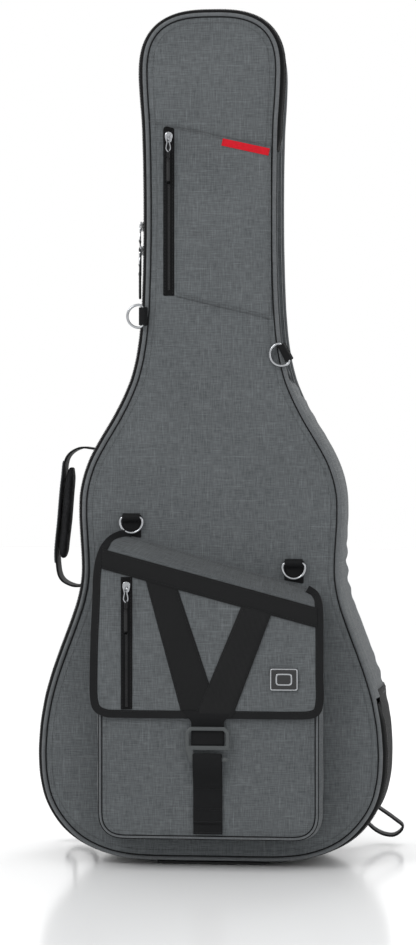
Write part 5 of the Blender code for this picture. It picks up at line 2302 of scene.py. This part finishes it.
@dataclass
class Hook:
    """The flat metal hook that carries the closure webbing on its open lower bar.

    Attributes:
        chamfer: the size of its cut upper corners.
    """

    chamfer: float = 0.0062

    def build(self) -> None:
        """Make the hook as one bevelled plate with its slot and its open gap."""
        low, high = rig.box("hook_buckle")
        left, right, cut = low.x, high.x, self.chamfer
        bar, gap_low, gap_high = 0.0048, low.z + 0.0052, 0.1600
        outline = [
            (left + 0.0060, low.z), (right - 0.0030, low.z), (right - 0.0008, low.z + 0.0022),
            (
                right - 0.0030, gap_low - 0.0002
            ), (left + 0.0112, gap_low), (left + 0.0094, gap_high), (right, gap_high),
            (
                right, high.z - cut
            ), (right - cut, high.z), (left + cut, high.z), (left, high.z - cut), (left, gap_high),
        ]
        slot = [
            (left + bar, gap_high + 0.0055), (right - bar, gap_high + 0.0055), (
                right - bar, high.z - cut - 0.0020
            ),
            (
                right - cut - 0.0020, high.z - bar
            ), (left + cut + 0.0020, high.z - bar), (left + bar, high.z - cut - 0.0020),
        ]
        front, rear = low.y, high.y
        plate = slab(
            "hook_metal",
            rounded_corners(outline, [0.0008] * len(outline), 3),
            0.0013,
            lambda x, z, d: Vector((x, front + 0.0009 * (1 - ease(d / 0.0010)), z)),
            lambda x, z, d: Vector((x, rear - 0.0009 * (1 - ease(d / 0.0010)), z)),
            holes=[rounded_corners(slot, [0.0008] * len(slot), 3)],
        )
        dress(plate, Finishes.HOOK, "hook", "hook_buckle")


# Handle and straps --------------------------------------------------------------------------------


def puff(obj: bpy.types.Object, voxel: float, pressure: float, cap: float) -> bpy.types.Object:
    """Swell a closed cushion with a short cloth simulation.

    Args:
        obj: the cushion, a closed mesh.
        voxel: the size of the cloth's cells.
        pressure: the air pressure inside.
        cap: the furthest that a point may move.
    """
    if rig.quick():
        return obj
    shape = obj.modifiers.new("cells", "REMESH")
    shape.mode, shape.voxel_size, shape.use_smooth_shade = "VOXEL", voxel, True
    settle(obj)
    start = np.zeros(len(obj.data.vertices) * 3, np.float32)
    obj.data.vertices.foreach_get("co", start)
    cloth = obj.modifiers.new("cloth", "CLOTH")
    cloth.settings.quality = 4
    cloth.settings.effector_weights.gravity = 0.0
    cloth.settings.use_pressure = True
    cloth.settings.uniform_pressure_force = pressure
    for step in range(1, 21):
        bpy.context.scene.frame_set(step)
    graph = bpy.context.evaluated_depsgraph_get()
    swollen = np.zeros_like(start)
    obj.evaluated_get(graph).data.vertices.foreach_get("co", swollen)
    bpy.context.scene.frame_set(1)
    obj.modifiers.clear()
    move = (swollen - start).reshape(-1, 3)
    reach = np.linalg.norm(move, axis=1)
    move *= np.minimum(1.0, cap / np.maximum(reach, 1e-9))[:, None]
    obj.data.vertices.foreach_set("co", (start.reshape(-1, 3) + move).ravel())
    smooth = obj.modifiers.new("smooth", "SUBSURF")
    smooth.levels = smooth.render_levels = 1
    return settle(obj)


def pad_section(width: float, thickness: float, sides: int = 20) -> list[Point2]:
    """Return a cushion's section: flat in the middle, round at its edges."""
    points = []
    for step in range(sides):
        turn = 2 * math.pi * step / sides
        c, s = math.cos(turn), math.sin(turn)
        points.append(
            (math.copysign(abs(c) ** 0.55, c) * width / 2, math.copysign(abs(s) ** 0.7, s) * thickness / 2)
        )
    return points


@dataclass
class SideHandle:
    """The padded carrying handle on the left wall.

    Attributes:
        half: half the webbing's width.
    """

    half: float = 0.019

    def build(self, shell: Shell) -> None:
        """Make the handle's webbing, its grip and the sewn patch on the wall."""
        route = [
            (-0.1640, 0.5500), (-0.186, 0.5515), (-0.203, 0.540), (-0.2085, 0.510), (-0.2135, 0.455),
            (-0.2175, 0.400), (-0.2120, 0.374), (-0.196, 0.3645), (-0.1820, 0.3640),
        ]
        path = smooth_path([(x, 0.0, z) for x, z in route], 0.004)
        web = sweep("handle_webbing", path, strap_section(2 * self.half, 0.0026), BACKWARD)
        dress(web, Finishes.WEB, "side_handle", "side_handle_webbing")
        inner = []
        for index in range(1, len(path) - 1):
            tangent = (path[index + 1] - path[index - 1]).normalized()
            inward = BACKWARD.cross(tangent)
            if inward.x < 0:
                inward = -inward
            if 0.398 < path[index].z < 0.529:
                inner.append(path[index] + inward * 0.0082)

        def ends(share: float) -> float:
            """Return the grip's size, rounded off at both ends."""
            return 0.62 + 0.38 * min(ease(share / 0.12), ease((1 - share) / 0.12))

        grip = sweep("handle_grip", inner, pad_section(2 * self.half - 0.003, 0.0115), BACKWARD, scale=ends)
        puff(grip, 0.004, 2.0, 0.0012)
        dress(grip, Finishes.MESH, "side_handle", "side_handle_grip")
        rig.padded(grip, 0.8)
        skin_path = [p + Vector((-0.0019, 0, 0)) for p in path if 0.392 < p.z < 0.535]
        skin = sweep("handle_outer_skin", skin_path, strap_section(2 * self.half + 0.001, 0.0016), BACKWARD)
        dress(skin, Finishes.GREY, "side_handle")
        edge = [
            [p + Vector((-0.0010, y, 0)) for p in skin_path[1:-1]]
            for y in (-self.half + 0.003, self.half - 0.003)
        ]
        Row("handle_stitches", edge, Finishes.THREAD, "side_handle", across=LEFT).build()
        self.patch(shell)

    def patch(self, shell: Shell) -> None:
        """Make the webbing sewn down the wall behind the handle."""
        low, high = BAG.reach(0.5680, False), BAG.reach(0.3455, False)

        def place(s: float, y: float) -> Vector:
            """Return a place on the patch, level with the wall's cloth."""
            front = shell.tape_rear
            t = (y - front) / (rear_y(BAG.at(s).y) - 0.003 - front)
            spot = shell.wall(s, t, front, 0.0016)
            return Vector((spot.x, y, spot.z))

        obj = grid("handle_patch", spread(low, high, 0.005), spread(-self.half, self.half, 0.0032), place)
        dress(thicken(aim(lengthwise(obj), from_axis), 0.0016), Finishes.WEB, "shell", "side_handle_patch")
        box = []
        for a, b in ((low + 0.004, low + 0.020), (high - 0.020, high - 0.004)):
            ring = [(a, -0.015), (b, -0.015), (b, 0.015), (a, 0.015), (a, -0.015)]
            box.append([place(p.x, p.y) + off_bag(p.x) * 0.0003 for p in lay_path(ring, 0.005)])
        Row("handle_patch_stitches", box, Finishes.BLACK_THREAD, "shell", across=BACKWARD).build()


def off_bag(s: float) -> Vector:
    """Return the outward direction at a distance along the bag's contour."""
    normal = BAG.normal(s)
    return Vector((normal.x, 0.0, normal.y))


@dataclass
class ShoulderStrap:
    """One backpack strap: a curved pad, its ladder buckle and its slack webbing.

    Attributes:
        side: 1 for the viewer's right, -1 for the left.
        word: the side's name.
        reach: how far out the slack end of the webbing lies.
        width: the pad's width.
        stand_off: how far the pad's middle stands behind the bag's back.
    """

    side: int
    word: str
    reach: float
    width: float = 0.062
    stand_off: float = 0.030

    def build(self) -> None:
        """Make the pad, its binding and daisy-chain webbing, the buckle and the webbing."""
        side = self.side
        route = [(side * 0.049, 0.709), (side * 0.084, 0.600), (side * 0.104, 0.480), (side * 0.112, 0.377)]
        flat = smooth_path([(x, 0.0, z) for x, z in route], 0.007)
        path = [Vector((p.x, rear_y(p.z) + self.stand_off, p.z)) for p in flat]

        def across(_index: int, tangent: Vector) -> Vector:
            """Return the direction across the pad, square to the back."""
            return tangent.cross(BACKWARD)

        def ends(share: float) -> float:
            """Return the pad's size, rounded off at both ends."""
            return 0.55 + 0.45 * min(ease(share / 0.06), ease((1 - share) / 0.10))

        pad = sweep(
            f"strap_pad_{self.word}", path, pad_section(self.width - 0.002, 0.0105, 24), across, scale=ends
        )
        puff(pad, 0.005, 3.0, 0.0016)
        body = f"strap_{self.word}"
        dress(pad, Finishes.MESH, body, f"shoulder_pad_{self.word}")
        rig.padded(pad, 0.7)
        outer = [p + Vector((0, 0.0062, 0)) for p in path[2:-1]]
        dress(
            sweep(f"strap_spine_{self.word}", outer, strap_section(0.025, 0.0016), across), Finishes.WEB, body
        )
        for sign in (-1, 1):
            rim = []
            for index in range(1, len(path) - 1):
                tangent = (path[index + 1] - path[index - 1]).normalized()
                rim.append(path[index] + across(0, tangent).normalized() * sign * (self.width / 2 - 0.0032))
            dress(
                tube(f"strap_rim_{self.word}_{'outer' if sign > 0 else 'inner'}", rim, 0.0024, sides=8),
                Finishes.BINDING,
                body,
            )
        rows = []
        for offset in (-0.0105, 0.0105):
            rows.append([p + Vector((offset, 0.0009, 0)) for p in outer[1:-1]])
        Row(f"strap_spine_stitches_{self.word}", rows, Finishes.BLACK_THREAD, body, across=BACKWARD).build()
        self.webbing(body, path)

    def webbing(self, body: str, path: Sequence[Vector]) -> None:
        """Make the buckle, the webbing from the yoke and the slack webbing to the base."""
        side, low, high = self.side, *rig.box(f"strap_buckle_{self.word}")
        outline = rounded_corners(
            [(low.x, low.z), (high.x, low.z), (high.x, high.z), (low.x, high.z)], [0.004] * 4
        )
        slots = []
        for z in (low.z + 0.0055, low.z + 0.0135, low.z + 0.0215):
            slots.append(
                [
                    Vector((low.x + 0.007, z)),
                    Vector((high.x - 0.007, z)),
                    Vector((high.x - 0.007, z + 0.0042)),
                    Vector((low.x + 0.007, z + 0.0042)),
                ]
            )

        def face(x: float, z: float, d: float) -> Vector:
            """Return the buckle's outer face, its bars rounded."""
            return Vector((x, high.y - 0.0016 * (1 - ease(d / 0.0018)), z))

        buckle = slab(f"ladder_buckle_{self.word}", outline, 0.0018, face, plane(low.y + 0.002), holes=slots)
        dress(buckle, Finishes.PLASTIC, body, f"strap_buckle_{self.word}")
        middle = (low.x + high.x) / 2
        feed = [
            path[-3] + Vector((0, 0.004, 0)),
            Vector((middle, low.y + 0.0005, high.z + 0.006)),
            Vector((middle, low.y - 0.0006, high.z - 0.010)),
            Vector((middle, low.y + 0.0010, low.z + 0.012)),
        ]
        dress(
            sweep(f"buckle_feed_{self.word}", smooth_path(feed, 0.004), strap_section(0.0255, 0.0016), RIGHT),
            Finishes.WEB,
            body,
        )
        reach = self.reach
        slack = [
            (side * 0.1155, 0.345), (side * 0.1195, 0.318), (side * 0.140, 0.200), (side * 0.172, 0.075), (
                side * (reach - 0.038), 0.020
            ),
            (
                side * (reach - 0.012), 0.0135
            ), (side * reach, 0.025), (side * (
                reach - 0.012
            ), 0.036), (side * 0.210, 0.056), (side * 0.196, 0.070),
        ]
        y = sum(corner.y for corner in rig.box(f"strap_webbing_{self.word}")) / 2
        route = smooth_path([(x, y, z) for x, z in slack], 0.004)
        web = sweep(f"slack_webbing_{self.word}", route, strap_section(0.0245, 0.0027), BACKWARD)
        dress(web, Finishes.WEB, body, f"strap_webbing_{self.word}")
        top = Vector((side * 0.045, rear_y(0.745) + 0.004, 0.745))
        link = [
            top,
            Vector((side * 0.046, rear_y(0.728) + 0.010, 0.728)),
            Vector((side * 0.048, rear_y(0.712) + 0.024, 0.712)),
            path[2] + Vector((0, 0.001, 0)),
        ]
        ribbon = sweep(
            f"yoke_link_{self.word}", smooth_path(link, 0.003), strap_section(0.030, 0.0022), RIGHT
        )
        bend = (
            body,
            Vector((side * 0.045, rear_y(0.735), 0.738)),
            Vector((side * 0.048, rear_y(0.712) + 0.024, 0.700)),
        )
        dress(ribbon, Finishes.WEB, "shell", bend=bend)


@dataclass
class BackPanel:
    """What is sewn to the bag's back: the strap yoke, the back pad and the base webbing."""

    def build(self) -> None:
        """Make the yoke, the ribbed back pad and the webbing across the base."""

        def on_back(x: float, z: float, out: float) -> Vector:
            """Return a place standing off the bag's back."""
            return Vector((x, rear_y(z) + out, z))

        yoke = rounded_corners(
            [(-0.078, 0.713), (-0.060, 0.799), (0.060, 0.799), (0.078, 0.713)], [0.010] * 4
        )
        skin = slab(
            "strap_yoke_cloth",
            yoke,
            0.006,
            lambda x, z, d: on_back(x, z, 0.0012 + 0.0045 * ease(d / 0.008)),
            lambda x, z, d: on_back(x, z, -0.001),
        )
        dress(skin, Finishes.BLACK, "shell", "strap_yoke")
        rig.padded(skin, 0.4)
        ring = [
            on_back(p.x * 0.91, 0.756 + (p.y - 0.756) * 0.88, 0.0058)
            for p in lay_path([tuple(p) for p in yoke], 0.006)
        ]
        cross = [
            [on_back(-0.05, 0.73, 0.0060), on_back(0.05, 0.785, 0.0060)],
            [on_back(-0.05, 0.785, 0.0060), on_back(0.05, 0.73, 0.0060)],
        ]
        Row(
            "yoke_stitches", [ring + ring[:1], *cross], Finishes.BLACK_THREAD, "shell", across=BACKWARD
        ).build()
        shape = [(-0.1277, 0.142), (-0.100, 0.558), (0.100, 0.558), (0.1277, 0.142)]

        def ribs(x: float, z: float, d: float) -> Vector:
            """Return the pad's face, with sewn channels between its soft ribs."""
            channel = min(
                abs((z - 0.14 + 0.35 * abs(x)) % 0.070), abs(0.070 - (z - 0.14 + 0.35 * abs(x)) % 0.070)
            )
            crown = 0.0088 * ease(d / 0.014) * (0.35 + 0.65 * ease(channel / 0.012))
            return on_back(x, z, 0.0008 + crown)

        pad = slab(
            "back_pad_mesh",
            rounded_corners(shape, [0.020] * 4),
            0.0055,
            ribs,
            lambda x, z, d: on_back(x, z, -0.0006),
        )
        dress(pad, Finishes.MESH, "shell", "back_pad")
        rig.padded(pad, 0.6)
        edge = [
            on_back(p.x, p.y, 0.0016)
            for p in lay_path([tuple(p) for p in rounded_corners(shape, [0.020] * 4)], 0.006)
        ]
        cord("back_pad_binding", edge, 0.0022, Finishes.BINDING, "shell", sides=8)
        across = [on_back(x, 0.089, 0.0019) for x in spread(-0.207, 0.207, 0.006)]
        strap = sweep("base_strap_anchor", across, strap_section(0.038, 0.0018), UP)
        dress(strap, Finishes.WEB, "shell", "strap_base_webbing")
        boxes = []
        for x in (-0.196, 0.196):
            ring = [
                on_back(x + a, 0.089 + b, 0.0030)
                for a, b in (
                    (-0.008, -0.015), (0.008, -0.015), (0.008, 0.015), (-0.008, 0.015), (-0.008, -0.015),
                    (0.008, 0.015),
                )
            ]
            boxes.append(ring)
        Row("base_anchor_stitches", boxes, Finishes.BLACK_THREAD, "shell", across=BACKWARD).build()


@dataclass
class Interior:
    """The fitted pads inside: the neck cradle, its strap and the end-pin pad."""

    def build(self) -> None:
        """Make the cradle, its strap and the end-pin pad."""
        low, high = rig.box("neck_cradle")
        shape = [
            (low.x, low.y), (-0.030, low.y), (
                -0.027, -0.030
            ), (-0.012, -0.016), (0.012, -0.016), (0.027, -0.030),
            (0.030, low.y), (high.x, low.y), (high.x, high.y), (low.x, high.y),
        ]
        radii = [0.006, 0.006, 0.008, 0.010, 0.010, 0.008, 0.006, 0.006, 0.003, 0.003]

        def layer(level: float, sign: float) -> Surface:
            """Return a face of the cradle at a height, rolled at its edges."""
            return lambda x, y, d: Vector((x, y, level - sign * 0.004 * (1 - ease(d / 0.006))))

        cradle = slab(
            "neck_cradle_pad", rounded_corners(shape, radii, 5), 0.004, layer(high.z, 1), layer(low.z, -1)
        )
        dress(cradle, Finishes.PLUSH, "shell", "neck_cradle")
        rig.padded(cradle, 0.8)
        low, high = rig.box("neck_strap")
        y, z = (low.y + high.y) / 2, (low.z + high.z) / 2
        strap = sweep(
            "neck_strap_web",
            [Vector((x, y, z)) for x in spread(low.x, high.x, 0.005)],
            strap_section(high.z - low.z, 0.0022),
            UP,
        )
        dress(strap, Finishes.WEB, "shell", "neck_strap")
        tab = [Vector((x, y - 0.0018, z)) for x in spread(-0.020, 0.034, 0.005)]
        dress(
            sweep("neck_strap_tab", tab, strap_section(high.z - low.z - 0.002, 0.0013), UP),
            Finishes.MESH,
            "shell",
        )
        low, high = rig.box("end_pin_pad")
        shape = rounded_corners(
            [(low.x, low.y), (high.x, low.y), (high.x, high.y), (low.x, high.y)], [0.012] * 4
        )
        pin = slab(
            "end_pin_cushion",
            shape,
            0.005,
            lambda x, y, d: Vector((x, y, low.z + 0.005 + (high.z - low.z - 0.005) * ease(d / 0.012))),
            lambda x, y, d: Vector((x, y, low.z)),
        )
        dress(pin, Finishes.PLUSH, "shell", "end_pin_pad")
        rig.padded(pin, 0.7)


# Studio -------------------------------------------------------------------------------------------


@dataclass
class Stage:
    """The pale floor, the soft lights and the camera.

    Attributes:
        distance: how far the camera stands from the bag's middle.
        eye: the camera's height.
        yaw: how far the camera stands to the viewer's right, in radians.
        frame_height: the height of what the camera sees at the bag's front.
        centre_height: the height that the camera looks at.
        aim_x: the x that the camera looks at.
    """

    distance: float = 3.4
    eye: float = 0.57
    yaw: float = math.radians(5.0)
    frame_height: float = 1.247
    centre_height: float = 0.5196
    aim_x: float = -0.004

    def build(self) -> None:
        """Make the whole studio."""
        scene = bpy.context.scene
        scene.view_settings.view_transform = "Standard"
        self.floor()
        self.lights()
        self.camera()

    def floor(self) -> None:
        """Make the wide pale floor with a faint polish."""
        floor = mesh_object("studio_floor", [(-9, -9, 0), (9, -9, 0), (9, 9, 0), (-9, 9, 0)], [(0, 1, 2, 3)])
        material = bpy.data.materials.new("polished pale floor")
        material.use_nodes = True
        shader = material.node_tree.nodes["Principled BSDF"]
        shader.inputs["Base Color"].default_value = (0.985, 0.99, 0.995, 1.0)
        shader.inputs["Roughness"].default_value = 0.16
        shader.inputs["Specular IOR Level"].default_value = 0.6
        floor.data.materials.append(material)
        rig.stage(floor)

    def lights(self) -> None:
        """Make the white surroundings and three soft lights."""
        world = bpy.data.worlds.new("studio")
        world.use_nodes = True
        world.node_tree.nodes["Background"].inputs["Color"].default_value = (1.0, 1.0, 1.0, 1.0)
        world.node_tree.nodes["Background"].inputs["Strength"].default_value = 1.0
        bpy.context.scene.world = world
        for name, place, target, size, power in (
            ("key", (-1.7, -2.1, 2.3), (0.0, 0.0, 0.85), 1.3, 27.0),
            ("fill", (2.2, -1.9, 1.2), (0.1, 0.0, 0.6), 1.4, 6.0),
            ("rim", (0.7, 1.9, 1.9), (0.0, 0.0, 0.7), 1.2, 16.0),
        ):
            data = bpy.data.lights.new(name, "AREA")
            data.shape, data.size, data.energy = "DISK", size, power
            lamp = bpy.data.objects.new(name, data)
            lamp.location = place
            lamp.rotation_euler = (Vector(target) - Vector(place)).to_track_quat("-Z", "Y").to_euler()
            bpy.context.scene.collection.objects.link(lamp)

    def camera(self) -> None:
        """Place the level camera, a little to the right of the bag's middle."""
        data = bpy.data.cameras.new("camera")
        data.sensor_fit, data.sensor_height = "VERTICAL", 36.0
        place = Vector((math.sin(self.yaw) * self.distance, -math.cos(self.yaw) * self.distance, self.eye))
        target = Vector((self.aim_x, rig.box("lid_cloth")[0].y, self.eye))
        data.lens = data.sensor_height * (target - place).length / self.frame_height
        data.shift_y = (self.centre_height - self.eye) / self.frame_height
        data.clip_end = 60.0
        camera = bpy.data.objects.new("camera", data)
        camera.location = place
        camera.rotation_euler = (target - place).to_track_quat("-Z", "Y").to_euler()
        bpy.context.scene.collection.objects.link(camera)
        bpy.context.scene.camera = camera


def main() -> None:
    """Build the bag piece by piece and write the model's size before and after."""
    logging.basicConfig(level=logging.INFO, format="%(message)s")
    Stage().build()
    shell = Shell()
    shell.walls()
    shell.back()
    shell.lining()
    shell.base()
    MainZip().build(shell)
    lid = Lid()
    lid.build(shell)
    for name in ("main_zip_upper", "main_zip_lower"):
        low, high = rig.box(f"{name}_slider")
        pull_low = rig.box(f"{name}_pull")[0]
        middle = (low + high) / 2
        place = Vector(
            (min(high.x - 0.0004, BAG.at(BAG.reach(middle.z, False)).x - 0.0062), middle.y, middle.z)
        )
        Slider(name, place, LEFT, middle.z - pull_low.z, lift=0.0004).build()
    NeckPocket().build(lid)
    for name, bow in (
        ("upper_left", (-1, 0, 0)),
        ("upper_right", (-0.88, 0, -0.47)),
        ("lower_left", (0, 0, -1)),
        ("lower_right", (0, 0, -1)),
    ):
        DRing(name, Vector(bow)).build(lid)
    FrontPocket().build(lid)
    Flap().build(lid)
    Hook().build()
    SideHandle().build(shell)
    BackPanel().build()
    for side, word, reach in ((1, "right", 0.2500), (-1, "left", 0.2220)):
        ShoulderStrap(side, word, reach).build()
    Interior().build()
    with open("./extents.json", "w") as out:
        json.dump({"cad": CAD_BOX, "visual": [list(corner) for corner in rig.bounds()]}, out)


if __name__ == "__main__":
    main()
